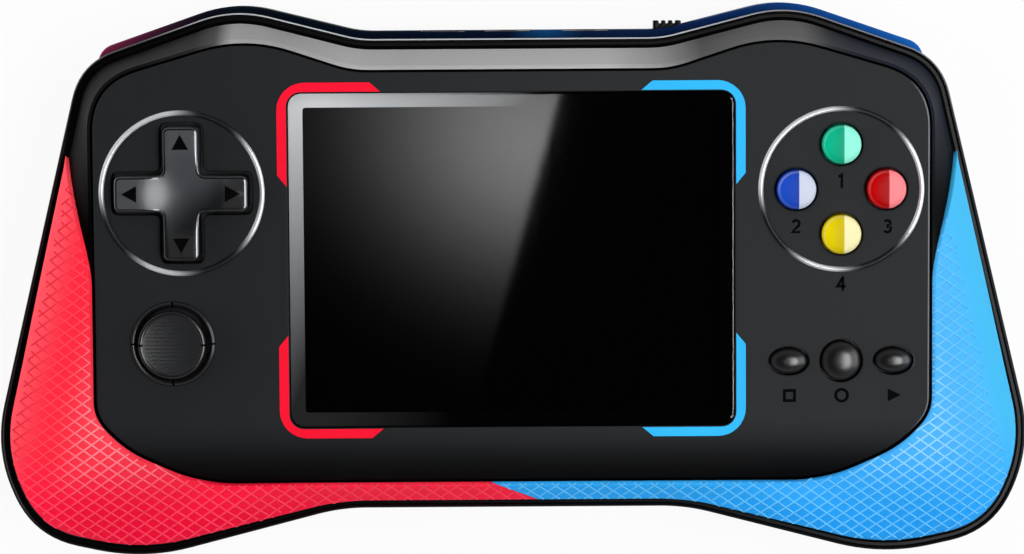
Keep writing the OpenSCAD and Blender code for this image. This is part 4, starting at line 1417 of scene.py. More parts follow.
@dataclass
class Grip(SubAssembly):
    """One net-textured grip skin on the sloped front."""

    side: Side
    thickness: float = 0.8
    rim_share: float = 0.45
    seat: float = 0.1
    start: float = 0.184
    whole: float = 0.58
    low_share: float = 0.03
    high_share: float = 0.99
    tip_share: float = 0.05
    taper_steps: int = 40
    inner: Flat = (-0.35, 0.4)
    across: int = 10
    soft_run: float = 0.4
    seam_lean: float = 8.0
    seam_gap: float = 0.1
    seam_steps: int = 8
    rhombus_w: float = 2.8
    rhombus_h: float = 2.0
    line_r: float = 0.16
    net_corner: Spot = (-0.2, -0.049, 0.05)
    net_rows: float = 38.0
    net_lines: int = 150
    net_points: int = 160
    least_slope: float = 0.18

    def section(self, low: Vector, high: Vector, edge: float) -> list[Vector]:
        """A closed section of the skin.

        Args:
            low: Point of the slope's outer ring.
            high: Point of its inner ring.
            edge: Share of the slope at which the skin ends.

        Returns:
            The underside's points, then the top's points back.
        """
        span = edge - self.low_share
        soft = min(0.2, self.soft_run / max(1.0, (high - low).length), span * 0.3)
        shares = [self.low_share, *[self.low_share + soft + (span - 2 * soft) * k / self.across
                                    for k in range(self.across + 1)], edge]
        under, over = [], []
        for index, share in enumerate(shares):
            base = LAYOUT.slope_point(low, high, share)
            out = LAYOUT.slope_normal(low, high, share)
            rim = index in (0, len(shares) - 1)
            under.append(base + out * self.seat)
            over.append(base + out * (self.seat + self.thickness * (self.rim_share if rim else 1.0)))
        return under + over[::-1]

    def sections(self) -> list[list[Vector]]:
        """All sections of the right-hand skin, from the tip on the side to the seam in the waist.

        Returns:
            The points of each section.
        """
        low, high = LAYOUT.slope_ends()[0], LAYOUT.followed(*self.inner)
        per, arc, mid = LAYOUT.rim.per_corner, LAYOUT.rim.arc, LAYOUT.rim.mid
        tip, full = (2 * per + arc + share * (mid + 1) for share in (self.start, self.whole))
        found: list[list[Vector]] = []
        for k in range(self.taper_steps):
            u = tip + (3 * per - tip) * k / self.taper_steps
            i, f = int(u), u - int(u)
            left = max(0.0, 1.0 - (u - tip) / (full - tip))
            edge = self.tip_share + (self.high_share - self.tip_share) * (1.0 - left ** 2)
            found.append(self.section(low[i].lerp(low[i + 1], f), high[i].lerp(high[i + 1], f), edge))
        last = 6 * per + arc
        found += [self.section(low[i], high[i], self.high_share) for i in range(3 * per, last + 1)]
        lean = self.seam_lean * self.side.value
        end: list[Vector] = []
        for p in found[-1]:
            share = (p.y - low[last].y) / (high[last].y - low[last].y)
            end.append(Vector((self.seam_gap / 2 + lean * (0.5 - share), p.y, p.z)))
        found += [[a.lerp(b, k / self.seam_steps) for a, b in zip(found[-1], end)]
                  for k in range(1, self.seam_steps + 1)]
        return found

    def build(self) -> None:
        """Builds the skin and the raised net on it."""
        bm = bmesh.new()
        rows = loft(bm, [[Vector((p.x * self.side.value, p.y, p.z)) for p in s] for s in self.sections()])
        for row in (rows[0], rows[-1]):
            for j in range(len(row) // 2 - 1):
                bm.faces.new((row[j], row[j + 1], row[-2 - j], row[-1 - j]))
        name, slot = self.side.name.lower(), GRIP_SLOTS[self.side]
        skin_finish, net_finish = (GripRubberPaintedShade(f"{name}_{part}_rubber", *tones)
                                   for part, tones in zip(("grip", "net"), GRIP_PAINTED_SHADES[self.side]))
        skin = shape(f"{name}_grip_skin", bm, [skin_finish], crease=50.0)
        net = self.net(f"{name}_grip_net", skin.data.copy(), net_finish)
        self.place(skin, slot, f"{name}_grip")
        self.place(net, slot)

    def net(self, name: str, skin: bpy.types.Mesh, finish: Finish) -> bpy.types.Object:
        """Lays two families of slanted lines onto the skin.

        Args:
            name: Name of the piece.
            skin: A copy of the skin's mesh.
            finish: The net's finish.

        Returns:
            The net as a plain mesh.
        """
        tree = Growth(name)
        width = tree.size("Rhombus Width", self.rhombus_w * MM)
        height = tree.size("Rhombus Height", self.rhombus_h * MM)
        corner = tree.size("Corner", self.net_corner, "NodeSocketVector")
        lines = tree.size("Lines", self.net_lines, "NodeSocketInt")
        points = tree.size("Points", self.net_points, "NodeSocketInt")
        x = tree.node("ShaderNodeSeparateXYZ", {}, {0: corner}, "X")
        families = []
        for way, rise in ((1, 0.0), (-1, self.net_rows)):
            line = tree.node("GeometryNodeMeshLine", {"mode": "OFFSET"}, {
                "Count": points, "Offset": tree.vector(width / 4, height / 4 * way),
                "Start Location": tree.vector(x, x.sibling("Y") + height * rise, x.sibling("Z"))})
            starts = tree.node("GeometryNodeMeshLine", {"mode": "OFFSET"}, {
                "Count": lines, "Offset": tree.vector(width, 0.0)})
            families.append(tree.repeated(starts, line))
        joined = tree.node("GeometryNodeJoinGeometry", {}, {"Geometry": families})
        real = tree.node("GeometryNodeRealizeInstances", {}, {"Geometry": joined})
        spot = tree.node("GeometryNodeInputPosition", {}, {})
        hit = tree.node("GeometryNodeRaycast", {}, {
            "Target Geometry": tree.base(), "Source Position": spot, "Ray Direction": (0.0, 0.0, -1.0),
            "Ray Length": 1.0}, "Is Hit")
        facing = tree.node("ShaderNodeSeparateXYZ", {}, {0: hit.sibling("Hit Normal")}, "Z")
        spot_x = tree.node("ShaderNodeSeparateXYZ", {}, {0: spot}, "X")
        rim = side_distance(spot_x * TO_MM, spot_x.sibling("Y") * TO_MM)
        drop = tree.node("FunctionNodeBooleanMath", {"operation": "NOT"}, {0: hit})
        for value, least in ((facing, self.least_slope), (rim, tree.size("Bare Strip", BARE_STRIPS[self.side]))):
            drop = tree.node("FunctionNodeBooleanMath", {"operation": "OR"},
                             {0: drop, 1: tree.compare("LESS_THAN", value, least)})
        kept = tree.node("GeometryNodeDeleteGeometry", {"domain": "POINT"}, {"Geometry": real, "Selection": drop})
        laid = tree.node("GeometryNodeSetPosition", {}, {"Geometry": kept, "Position": hit.sibling("Hit Position")})
        curve = tree.node("GeometryNodeMeshToCurve", {}, {"Mesh": laid})
        tube = tree.node("GeometryNodeCurveToMesh", {}, {
            "Curve": curve, "Profile Curve": tree.circle(6, "Line Radius", self.line_r), "Fill Caps": True})
        return tree.bake(name, tube, skin, finish)


@dataclass
class RearShell(SubAssembly):
    """The rounded rear shell with its ports, battery door, screws and sound holes."""

    belly_w: float = 7.0
    belly_h: float = 8.0
    wall: float = 1.8
    lip: float = 0.25
    floor_t: float = 1.8
    steps: int = 10
    floor_gap: float = 7.3
    floor_edge: tuple[Flat, ...] = ((0.12, 0.012), (0.0, 0.13))
    floor_slack: float = 0.02
    overlaps: Flat = (8.6, 9.2)
    door: tuple[float, float, float, float] = (0.0, -2.0, 67.3, 39.5)
    door_r: float = 2.85
    door_bevel: float = 0.25
    speaker: Flat = (-55.4, 10.5)
    sound_r: float = 0.8
    sound_pitch: float = 3.4
    screws: tuple[Flat, ...] = ((44.4, 34.5), (53.8, -26.8), (24.0, -28.5))
    screw_hole: float = 2.15
    door_screws: tuple[Flat, ...] = ((-30.5, -2.0), (30.5, -2.0))
    cross: Spot = (1.9, 0.42, 0.08)
    ports: tuple[tuple[float, float, float, float], ...] = (
        (-15.45, -7.55, 11.05, 14.35), (-4.55, 3.55, 8.85, 14.35), (8.75, 16.85, 8.85, 14.35),
        (24.1, 31.2, 10.75, 14.05))
    port_y: Flat = (38.0, 46.0)

    def screw_places(self) -> list[Flat]:
        """Middles of the six case screws."""
        return [(s * x, y) for x, y in self.screws for s in (1, -1)]

    def build(self) -> None:
        """Builds the shell, its floor, the door and the painted shade of the screws' recesses."""
        rear, top = LAYOUT.rear, LAYOUT.rear_top
        turns = [math.pi / 2 * k / self.steps for k in range(self.steps + 1)]
        outer = [rear.ring(self.belly_w * (1 - math.sin(a)), self.belly_h * (1 - math.cos(a))) for a in turns]
        inner = [rear.ring(self.wall + self.belly_w * (1 - math.sin(a)),
                           self.belly_h + (self.floor_t - self.belly_h) * math.cos(a)) for a in reversed(turns)]
        bm = bmesh.new()
        loft(bm, [rear.ring(self.overlaps[0], 0.0), *outer, rear.ring(0, top - self.lip), rear.ring(self.lip, top),
                  rear.ring(self.wall, top), *inner, rear.ring(self.overlaps[1], self.floor_t)], closed=True)
        walls = shape("shell_walls", bm, [SHELL], CREASE)
        carve(walls, self.port_cutter())
        self.place(walls, "shell_blue", "rear_shell")
        bm = bmesh.new()
        holes = [rounded_points(self.door[:2], self.door[2], self.door[3], self.door_r)]
        holes += [arc_points(place, self.screw_hole, 40) for place in self.screw_places()]
        holes += [arc_points(place, self.sound_r, 20) for place in self.sound_holes()]
        slab(bm, [rear.inset(self.floor_gap).points(), *holes],
             [*self.floor_edge, (0.0, self.floor_t - self.floor_slack)])
        self.place(shape("shell_floor", bm, [SHELL], crease=20.0), "shell_blue")
        door = softened("battery_cover", "battery_door", self.door_bevel, [SHELL])
        self.place(door, "shell_blue", "battery_door")
        self.recesses()
        for node in ("case_screws", "door_screws"):
            self.dress(node, STEEL)

    def port_cutter(self) -> bmesh.types.BMesh:
        """The openings of the ports and the power knob's slot.

        Returns:
            The shape to cut out.
        """
        bm = bmesh.new()
        for left, right, low, high in self.ports:
            box(bm, (left, self.port_y[0], low), (right, self.port_y[1], high))
        return bm

    def sound_holes(self) -> list[Flat]:
        """Middles of the holes over the loudspeaker: one, a ring of 6 and a ring of 12.

        Returns:
            The middles.
        """
        x, y = self.speaker
        found = [self.speaker]
        for ring in (1, 2):
            far = self.sound_pitch * ring
            turns = [math.radians(60 / ring * k) for k in range(6 * ring)]
            found += [(x + far * math.cos(a), y + far * math.sin(a)) for a in turns]
        return found

    def recesses(self) -> None:
        """Puts a black cross on each screw head, as painted shade for its cross recess."""
        case_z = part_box("case_screws")[0][2] / MM
        door_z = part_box("door_screws")[0][2] / MM
        points = [(x, y, case_z) for x, y in self.screw_places()] + [(x, y, door_z) for x, y in self.door_screws]
        tree = Growth("screw_crosses")
        span, blade, depth = (tree.size(name, value * MM)
                              for name, value in zip(("Span", "Blade", "Depth"), self.cross))
        bars = [tree.node("GeometryNodeMeshCube", {}, {"Size": tree.vector(a, b, depth)}, "Mesh")
                for a, b in ((span, blade), (blade, span))]
        cross = tree.node("GeometryNodeJoinGeometry", {}, {"Geometry": bars})
        grown = tree.repeated(tree.base(), cross)
        self.place(tree.bake("screw_crosses", grown, point_mesh("screw_points", points), INK_AND_RECESS_SHADE), "steel")


@dataclass
class Screen(SubAssembly):
    """The lens, the silver print under it, the display and the coloured corners."""

    lens_z: Flat = (22.81, 23.9)
    lens_bevel: float = 0.3
    underside: float = 22.9
    accent_w: float = 1.9
    accent_z: Flat = (-0.6, 0.09)
    accent_bevel: float = 0.12
    arm: float = 15.6
    mitre: float = 1.2
    gap: float = 0.3
    outer_r: float = 4.7

    def build(self) -> None:
        """Builds the lens and the corners, and dresses the frame's nodes."""
        x, y = LAYOUT.lens
        bm = bmesh.new()
        slab(bm, [rounded_points(LAYOUT.lens, LAYOUT.lens_w, LAYOUT.lens_h, LAYOUT.lens_r)],
             soft_levels(*self.lens_z, self.lens_bevel), [1, 0, 0, 0])
        for face in bm.faces:
            if face.calc_center_median().z < self.underside:
                face.material_index = 1
        lens = shape("clear_lens", bm, [LensGlass("lens_clear"), LensGlass("lens_underside", 0.05)], crease=10.0)
        self.place(lens, "lens_glass", "screen_lens")
        self.dress("screen_frame", PrintedFrame("frame_print", x - LAYOUT.lens_w / 2, y + LAYOUT.lens_h / 2))
        self.dress("display_module", Plastic("display_black", "010102", roughness=0.5, gloss=0.0))
        levels = soft_levels(*(LAYOUT.plate_top + z for z in self.accent_z), self.accent_bevel)
        for side, shade, code in ((Side.LEFT, "red", "fa1634"), (Side.RIGHT, "blue", "34bafd")):
            bm = bmesh.new()
            for up in (1, -1):
                slab(bm, [[Vector((x + side.value * p.x, y + up * p.y)) for p in self.bracket()]], levels)
            finish = Plastic(f"corner_{shade}", code, 0.5, depth=0.006, gloss=0.05)
            pair = shape(f"{shade}_accents_pair", bm, [finish], crease=10.0)
            self.place(pair, f"accent_{shade}", f"{shade}_accents")

    def bracket(self) -> list[Vector]:
        """The upper right corner's contour about the lens's middle.

        Returns:
            The contour's points.
        """
        w, h = LAYOUT.lens_w / 2 + self.accent_w, LAYOUT.lens_h / 2 + self.accent_w
        wi, hi = LAYOUT.lens_w / 2 + self.gap, LAYOUT.lens_h / 2 + self.gap
        r, ri = self.outer_r, LAYOUT.lens_r + self.gap
        turns = [math.pi / 2 * k / 8 for k in range(9)]
        out = [Vector((w - r + r * math.sin(a), h - r + r * math.cos(a))) for a in turns]
        back = [Vector((wi - ri + ri * math.cos(a), hi - ri + ri * math.sin(a))) for a in turns]
        tail = self.mitre * (w - wi)
        return [Vector((w - self.arm, h)), *out, Vector((w, h - self.arm)), Vector((wi, h - self.arm - tail)),
                *back, Vector((w - self.arm - tail, hi))]


@dataclass
class TrimRings(SubAssembly):
    """The two chrome rings around the direction pad and the action buttons."""

    radius: float = 13.52
    wire: float = 0.46
    level: float = 23.9
    steps: int = 144
    wire_steps: int = 14

    def build(self) -> None:
        """Bends a wire round each group of controls."""
        for name, side in (("pad_ring", Side.LEFT), ("action_ring", Side.RIGHT)):
            middle = (side.value * LAYOUT.controls[0], LAYOUT.controls[1])
            tree = Growth(name + "_wire")
            bent = tree.node("GeometryNodeCurveToMesh", {}, {
                "Curve": tree.circle(self.steps, "Radius", self.radius),
                "Profile Curve": tree.circle(self.wire_steps, "Wire Radius", self.wire)})
            piece = tree.bake(name + "_wire", tree.moved(bent, (*middle, self.level)), point_mesh(name + "_base"),
                              RingChrome(name + "_chrome", middle))
            self.place(piece, "trim_chrome", name)


@dataclass
class DirectionPad(SubAssembly):
    """The cross-shaped pad with chamfered edges, a dished middle and four dark arrows."""

    reach: float = 11.2
    half_w: float = 3.0
    soft: float = 1.2
    low: float = 20.6
    high: float = 26.2
    bevel: float = 0.5
    dish_r: float = 7.6
    dish_depth: float = 1.35
    flange: tuple[float, float, float] = (12.0, 19.67, 20.57)
    dish_cuts: int = 12
    arrow_at: float = 8.2
    arrow: float = 1.4
    arrow_ends: Flat = (1.25, -0.55)
    arrow_z: Flat = (-0.1, 0.015)

    @property
    def middle(self) -> Flat:
        """The pad's middle."""
        return -LAYOUT.controls[0], LAYOUT.controls[1]

    def contour(self, grow: float) -> list[Vector]:
        """Contour of the cross.

        Args:
            grow: How far the contour lies outside the pad.

        Returns:
            The contour's points.
        """
        a, b = self.reach + grow, self.half_w + grow
        right = [(x, y, self.soft) for x, y in ((b, a), (b, b), (a, b), (a, -b), (b, -b), (b, -a))]
        return [p + Vector(self.middle) for p in Outline.mirrored(right, 6, 1).points()]

    def build(self) -> None:
        """Builds the pad and its arrows, and dresses what it rocks on."""
        bm = bmesh.new()
        slab(bm, [self.contour(0.0)], soft_levels(self.low, self.high, self.bevel), [0, 1, 1, 1])
        radius, bottom, top = self.flange
        lathe(bm, self.middle, [(0.0, bottom), (radius, bottom), (radius, top), (0.0, top)])
        for axis in (Vector((1, 0, 0)), Vector((0, 1, 0))):
            for k in range(-self.dish_cuts, self.dish_cuts + 1):
                scored(bm, Vector((*self.middle, 0)) + axis * (self.dish_r * k / self.dish_cuts), axis)
        for vert in bm.verts:
            if vert.co.z > LAYOUT.plate_top:
                far = min(1.0, (vert.co.xy - Vector(self.middle)).length / self.dish_r)
                vert.co.z -= self.dish_depth * (1 - far ** 2) ** 2
        finishes = [PadPlasticPaintedShade("pad_plastic", self.middle, self.reach), EDGE_GREY]
        pad = shape("direction_cross", bm, finishes, crease=32.0)
        self.place(pad, "pad_grey", "direction_pad", body="direction_pad")
        self.arrows()
        self.dress("pad_pivot", STEEL)
        self.dress("pad_post", Plastic("post_grey", "5a5e63"))

    def arrows(self) -> None:
        """Prints an arrow on each arm."""
        s = self.arrow
        tip, back = (self.arrow_at + s * share for share in self.arrow_ends)
        bm = bmesh.new()
        for quarter in range(4):
            turn = Matrix.Rotation(math.pi / 2 * quarter, 2)
            contour = [turn @ Vector(p) + Vector(self.middle) for p in ((tip, 0), (back, s), (back, -s))]
            slab(bm, [contour], [(0.0, self.high + rise) for rise in self.arrow_z])
        self.place(shape("direction_arrows", bm, [INK_AND_RECESS_SHADE]), "pad_grey", body="direction_pad")


@dataclass
class ActionButtons(SubAssembly):
    """The four round coloured buttons."""

    circle: float = 7.55
    # Each button: name, colour, and the paler colour of its painted reflection.
    colours_and_reflections: tuple[tuple[str, str, str], ...] = (
        ("green", "06b88c", "90f8dc"), ("blue", "1c4cc4", "ccd2e6"), ("red", "bc0206", "ff868c"),
        ("yellow", "e8d000", "f4eeb4"))
    profile: tuple[Flat, ...] = (
        (0.0, 26.0), (1.3, 25.98), (2.3, 25.9), (2.7, 25.78), (3.02, 25.52), (3.22, 25.2), (3.3, 24.8), (3.3, 21.85),
        (4.3, 21.85), (4.3, 21.05), (0.0, 21.05))

    def places(self) -> list[Flat]:
        """Middles of the green, blue, red and yellow button."""
        x, y = LAYOUT.controls
        return [(x, y + self.circle), (x - self.circle, y), (x + self.circle, y), (x, y - self.circle)]

    def build(self) -> None:
        """Turns each button and places it on its own body."""
        for (name, left, right), place in zip(self.colours_and_reflections, self.places()):
            bm = bmesh.new()
            lathe(bm, place, self.profile)
            cap = shape(f"{name}_cap", bm, [CapPaintedReflection(f"{name}_gloss", left, right, place)], CREASE)
            self.place(cap, f"button_{name}", f"{name}_button", body=f"{name}_button")


@dataclass
class SystemButtons(SubAssembly):
    """The three small black buttons: an oval, a round one and an oval."""

    pitch: float = 8.8
    round_r: float = 3.4
    oval: Flat = (3.2, 2.2)
    profile: tuple[Flat, ...] = (
        (0.0, 25.3), (0.3, 25.25), (0.55, 25.05), (0.75, 24.72), (0.9, 24.32), (0.98, 23.9), (1.0, 23.4), (1.0, 21.85),
        (1.22, 21.85), (1.22, 21.1), (0.0, 21.1))

    def build(self) -> None:
        """Builds each dome and places it on its own body."""
        x, y = LAYOUT.controls[0], LAYOUT.system_y
        gloss = Plastic("dome_gloss", "0c0c0e", roughness=0.32, depth=0.002, gloss=1.0)
        domes = [("select", x - self.pitch, *self.oval), ("home", x, self.round_r, self.round_r),
                 ("start", x + self.pitch, *self.oval)]
        for name, middle, across, up in domes:
            bm = bmesh.new()
            loft(bm, [lifted(ellipse_points((middle, y), across * f, up * f), z) for f, z in self.profile])
            dome = shape(f"{name}_dome", bm, [gloss], crease=45.0)
            self.place(dome, "button_black", f"{name}_button", body=f"{name}_button")


@dataclass
class ThumbStick(SubAssembly):
    """The round sliding cap with its dotted face, in a notched collar."""

    pitch: Flat = (0.38, 0.64)
    dot_r: float = 0.13
    dots_to: float = 4.5
    face_z: float = 26.45
    notch: Spot = (1.3, 0.34, 0.8)
    collar_notch: Flat = (6.7, 24.5)
    cap_notch: Flat = (5.5, 0.35)
    round_points: int = 96
    collar: tuple[Flat, ...] = ((6.0, 22.9), (6.05, 23.9), (6.15, 24.22), (6.4, 24.48), (6.7, 24.55), (6.95, 24.42),
                                (7.14, 24.2), (7.25, 23.9), (7.25, 22.9))
    rim: tuple[Flat, ...] = ((0.0, 0.0), (4.7, 0.0), (4.9, 0.08), (5.02, 0.25), (5.2, 0.34), (5.42, 0.3), (5.62, 0.1),
                             (5.7, -0.2))
    stem: tuple[Flat, ...] = ((5.7, 25.3), (5.55, 24.95), (5.3, 24.8), (2.2, 24.8), (2.2, 21.5), (0.0, 21.5))

    def notches(self, piece: bpy.types.Object, radius: float, z: float, turns: Sequence[int]) -> None:
        """Cuts narrow notches into a ring.

        Args:
            piece: The ring.
            radius: Where the notches are.
            z: Their middle's level.
            turns: The quarter turns at which they are cut.
        """
        cutter = bmesh.new()
        for quarter in turns:
            turn = Matrix.Rotation(math.pi / 2 * quarter, 4, "Z") @ Matrix.Translation((radius, 0, 0))
            place = Matrix.Translation((*LAYOUT.stick, z)) @ turn @ Matrix.Diagonal((*self.notch, 1.0))
            bmesh.ops.create_cube(cutter, size=1.0, matrix=place)
        carve(piece, cutter)

    def build(self) -> None:
        """Builds the collar, the cap and its dots."""
        rubber = Plastic("stick_rubber", "1d1e20", roughness=0.42, grain=0.2)
        polish = Plastic("stick_polish", "101113", roughness=0.24, depth=0.002, gloss=1.0)
        bm = bmesh.new()
        lathe(bm, LAYOUT.stick, self.collar, self.round_points)
        collar = shape("stick_socket", bm, [polish], CREASE)
        self.notches(collar, *self.collar_notch, range(4))
        self.place(collar, "trim_chrome", "stick_collar")
        bm = bmesh.new()
        profile = [*[(r, self.face_z + rise) for r, rise in self.rim], *self.stem]
        lathe(bm, LAYOUT.stick, profile, self.round_points, [0, 0, *[1] * 6, *[0] * 5])
        cap = shape("stick_top", bm, [rubber, polish], CREASE)
        self.notches(cap, self.cap_notch[0], self.face_z + self.cap_notch[1], (0, 2))
        self.place(cap, "pad_grey", "stick_cap", body="stick_cap")
        self.place(self.dots(rubber), "pad_grey", body="stick_cap")
        self.dress("stick_carriage", Plastic("carriage_white", "b8b8b4"))
        self.dress("stick_base", Plastic("stick_box", "3a3c40"))

    def dots(self, finish: Finish) -> bpy.types.Object:
        """Raised dots in a grid over the cap's face.

        Args:
            finish: The dots' finish.

        Returns:
            The dots as a plain mesh.
        """
        tree = Growth("stick_dots")
        sizes: dict[str, Wire] = {}
        for axis, pitch in zip("XY", self.pitch):
            count = 2 * int(self.dots_to / pitch) + 1
            sizes[f"Size {axis}"] = tree.size(f"Span {axis}", (count - 1) * pitch * MM)
            sizes[f"Vertices {axis}"] = tree.size(f"Dots {axis}", count, "NodeSocketInt")
        grid = tree.node("GeometryNodeMeshGrid", {}, sizes, "Mesh")
        spot = tree.node("GeometryNodeInputPosition", {}, {})
        far = tree.node("ShaderNodeVectorMath", {"operation": "LENGTH"}, {0: spot}, "Value")
        outside = tree.compare("GREATER_THAN", far, tree.size("Reach", self.dots_to * MM))
        kept = tree.node("GeometryNodeDeleteGeometry", {"domain": "POINT"}, {"Geometry": grid, "Selection": outside})
        ball = tree.node("GeometryNodeMeshIcoSphere", {}, {
            "Radius": tree.size("Dot Radius", self.dot_r * MM), "Subdivisions": 1}, "Mesh")
        moved = tree.moved(tree.repeated(kept, ball), (*LAYOUT.stick, self.face_z))
        return tree.bake("stick_dots", moved, point_mesh("stick_dots_base"), finish)


@dataclass
class TopPorts(SubAssembly):
    """The power knob, the charging socket and the two jacks in the top edge."""

    knob_bevel: float = 0.15
    knob_rise: float = 0.6
    rib_depth: float = 1.2

    def build(self) -> None:
        """Rounds the knob and dresses the sockets."""
        black = Plastic("knob_black", "08080a", 0.35, gloss=0.2)
        knob = softened("power_slider", "power_knob", self.knob_bevel, [black])
        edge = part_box("power_knob")[1][1] - self.rib_depth * MM
        for vert in knob.data.vertices:
            if vert.co.y > edge:
                vert.co.y += self.knob_rise * MM
        self.place(knob, "button_black", "power_knob", body="power_knob")
        self.dress("power_switch", Plastic("switch_grey", "4a4c50"))
        self.dress("usb_socket", Metal("socket_steel", "54585e", roughness=0.34))
        for node in ("headphone_jack", "video_jack"):
            self.dress(node, Plastic("jack_plastic", "101113", 0.35))


@dataclass
class Inside(SubAssembly):
    """What the case holds: board, chips, membranes, battery and loudspeaker."""

    def build(self) -> None:
        """Dresses the frame's inner nodes."""
        rubber = Plastic("membrane_grey", "6c7076", roughness=0.6)
        finishes: dict[str, Finish] = {
            "main_board": BoardLacquer("board_lacquer"), "board_chips": Plastic("chip_epoxy", "151618", 0.5),
            "board_screws": STEEL, "display_ribbon": Plastic("ribbon_film", "a86a22", 0.3),
            "pad_membrane": rubber, "action_membrane": rubber, "system_membrane": rubber,
            "speaker": Plastic("speaker_cone", "2c2d30", 0.55, grain=0.5, depth=0.03),
            "battery": Metal("battery_foil", "b4b8bc", 0.4, lines=1.2), "battery_contacts": BRASS,
            "battery_tray": Plastic("tray_grey", "3c3f44")}
        for node, finish in finishes.items():
            self.dress(node, finish)


def turned(place: Vector, right: Vector, back: Vector) -> Matrix:
    """Where a light or camera is, from its middle in millimetres, its right and its back."""
    turn = Matrix((right, back.cross(right), back)).transposed().to_4x4()
    return Matrix.Translation(place * MM) @ turn


@dataclass(frozen=True)
class Panel:
    """A soft light panel, which may dim from the middle of its right edge and be hidden from glossy surfaces."""

    name: str
    place: Spot
    facing: Spot
    across: Spot
    size: Flat
    radiance: float
    fall: Flat = (0.0, 0.0)
    mirrored: bool = True

    def hang(self) -> None:
        """Hangs the panel in its place."""
        data = bpy.data.lights.new(self.name, "AREA")
        data.shape = "RECTANGLE"
        data.size, data.size_y = (length * MM for length in self.size)
        data.energy = math.pi * self.radiance * data.size * data.size_y
        if any(self.fall):
            self.dim(data)
        light = bpy.data.objects.new(self.name, data)
        back = -Vector(self.facing).normalized()
        right = Vector(self.across)
        light.matrix_world = turned(Vector(self.place), (right - back * right.dot(back)).normalized(), back)
        light.visible_glossy = self.mirrored
        bpy.context.scene.collection.objects.link(light)

    def dim(self, data: bpy.types.Light) -> None:
        """Makes a light fade across and up.

        Args:
            data: The light.
        """
        data.use_nodes = True
        graph = Graph(data.node_tree)
        graph.tree.nodes.clear()
        spot = graph.node("ShaderNodeNewGeometry", {}, {}, "Parametric")
        share = graph.node("ShaderNodeSeparateXYZ", {}, {0: spot}, "X")
        across, up = (share - 1.0) * self.fall[0], (share.sibling("Y") - 0.5) * self.fall[1]
        far = across * across + up * up
        glow = graph.node("ShaderNodeEmission", {}, {"Strength": far.math("EXPONENT", 0.0 - far)})
        out = graph.tree.nodes.new("ShaderNodeOutputLight")
        graph.tree.links.new(glow.socket, out.inputs["Surface"])


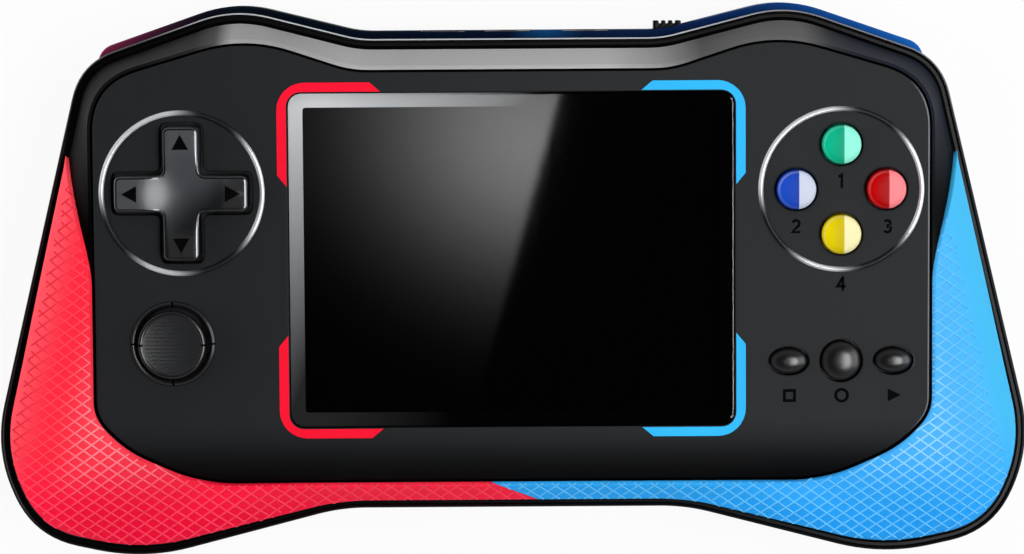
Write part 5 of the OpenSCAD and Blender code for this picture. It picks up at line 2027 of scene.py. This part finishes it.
@dataclass
class Studio:
    """The floor, the light panels, the sky and the camera."""

    distance: float = 612.0
    tilt: float = 5.0
    roll: float = 0.37
    lens: float = 125.82
    sensor: float = 36.0
    clip: Flat = (0.01, 20.0)
    target: Spot = (0.0, 0.2, 14.4)
    ambient: float = 0.2
    horizon: float = 1.35
    zenith: float = 0.05
    floor_z: float = -1.0
    floor_half: float = 4000.0
    floor_tone: float = 0.85
    floor_glow: float = 0.92
    panels: tuple[Panel, ...] = (
        Panel("glare_panel", (-83.2, 10.3, 800.0), (0.0, 0.0, -1.0), (0.9644, -0.2646, 0.0), (200.0, 320.0), 3.7,
              fall=(3.7, 8.0)),
        Panel("right_panel", (300.0, -40.0, 620.0), (-300.0, 40.0, -600.0), (1.0, 0.0, 0.0), (300.0, 520.0), 6.4),
        Panel("back_panel", (0.0, 620.0, 420.0), (0.0, -600.0, -400.0), (1.0, 0.0, 0.0), (900.0, 300.0), 1.9,
              mirrored=False),
        Panel("left_side", (-560.0, 20.0, 170.0), (1.0, 0.0, -0.25), (0.0, 1.0, 0.0), (560.0, 260.0), 5.6,
              mirrored=False),
        Panel("right_side", (560.0, 20.0, 260.0), (-1.0, 0.0, -0.45), (0.0, 1.0, 0.0), (560.0, 420.0), 1.5))

    def build(self) -> None:
        """Sets up everything around the object."""
        self.floor()
        self.sky()
        for panel in self.panels:
            panel.hang()
        self.camera()
        bpy.context.scene.view_settings.view_transform = "Standard"

    def floor(self) -> None:
        """A plain pale floor just under the object."""
        bm = bmesh.new()
        bmesh.ops.create_grid(bm, x_segments=1, y_segments=1, size=self.floor_half,
                              matrix=Matrix.Translation((0, 0, self.floor_z)))
        floor = shape("floor", bm, [])
        paint = Paint("floor_white")
        matt = paint.node("ShaderNodeBsdfDiffuse", {}, {"Color": (*[self.floor_tone] * 3, 1.0)})
        glow = paint.node("ShaderNodeEmission", {}, {"Color": WHITE, "Strength": 1.0})
        seen = paint.node("ShaderNodeLightPath", {}, {}, "Is Camera Ray")
        share = (seen + seen.sibling("Is Glossy Ray") + seen.sibling("Is Transmission Ray")) * self.floor_glow
        floor.data.materials.append(paint.end(paint.node("ShaderNodeMixShader", {}, {0: share, 1: matt, 2: glow})))
        floor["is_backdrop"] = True

    def sky(self) -> None:
        """A dim room that is a little paler round the horizon."""
        world = bpy.data.worlds.new("studio_sky")
        bpy.context.scene.world = world
        world.use_nodes = True
        graph = Graph(world.node_tree)
        graph.tree.nodes.clear()
        spot = graph.node("ShaderNodeTexCoord", {}, {}, "Generated")
        up = graph.node("ShaderNodeSeparateXYZ", {}, {0: spot}, "Z")
        level = self.ambient * (self.horizon - (self.horizon - self.zenith) * up.step(0.15, 0.85))
        seen = graph.node("ShaderNodeLightPath", {}, {}, "Is Camera Ray")
        light, white = (graph.node("ShaderNodeBackground", {}, {"Color": WHITE, "Strength": strength})
                        for strength in (level, 1.0))
        mixed = graph.node("ShaderNodeMixShader", {}, {0: seen, 1: light, 2: white})
        out = graph.tree.nodes.new("ShaderNodeOutputWorld")
        graph.tree.links.new(mixed.socket, out.inputs["Surface"])

    def camera(self) -> None:
        """Sets the camera at the photograph's angle."""
        tilt, roll = math.radians(self.tilt), math.radians(self.roll)
        back = Vector((0, math.sin(tilt), math.cos(tilt)))
        upright = Vector((0, math.cos(tilt), -math.sin(tilt)))
        right = Vector((1, 0, 0)) * math.cos(roll) - upright * math.sin(roll)
        data = bpy.data.cameras.new("photo_camera")
        data.lens, data.sensor_width = self.lens, self.sensor
        data.clip_start, data.clip_end = self.clip
        camera = bpy.data.objects.new("photo_camera", data)
        camera.matrix_world = turned(Vector(self.target) + back * self.distance, right, back)
        bpy.context.scene.collection.objects.link(camera)
        bpy.context.scene.camera = camera


def corners() -> list[list[float]]:
    """The lowest and the highest corner of what shows, as plain lists."""
    return [[float(c) for c in corner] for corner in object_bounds()]


def main() -> None:
    """Sets up the studio, then builds the sub-assemblies in order."""
    logging.basicConfig(level=logging.INFO, format="%(message)s")
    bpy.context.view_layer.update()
    Studio().build()
    assemblies: list[SubAssembly] = [
        FrontHousing(), FacePlate(), Grip(Side.LEFT), Grip(Side.RIGHT), RearShell(), Screen(), TrimRings(),
        DirectionPad(), ActionButtons(), SystemButtons(), ThumbStick(), TopPorts(), Inside()]
    for assembly in assemblies:
        assembly.build()


if __name__ == "__main__":
    main()
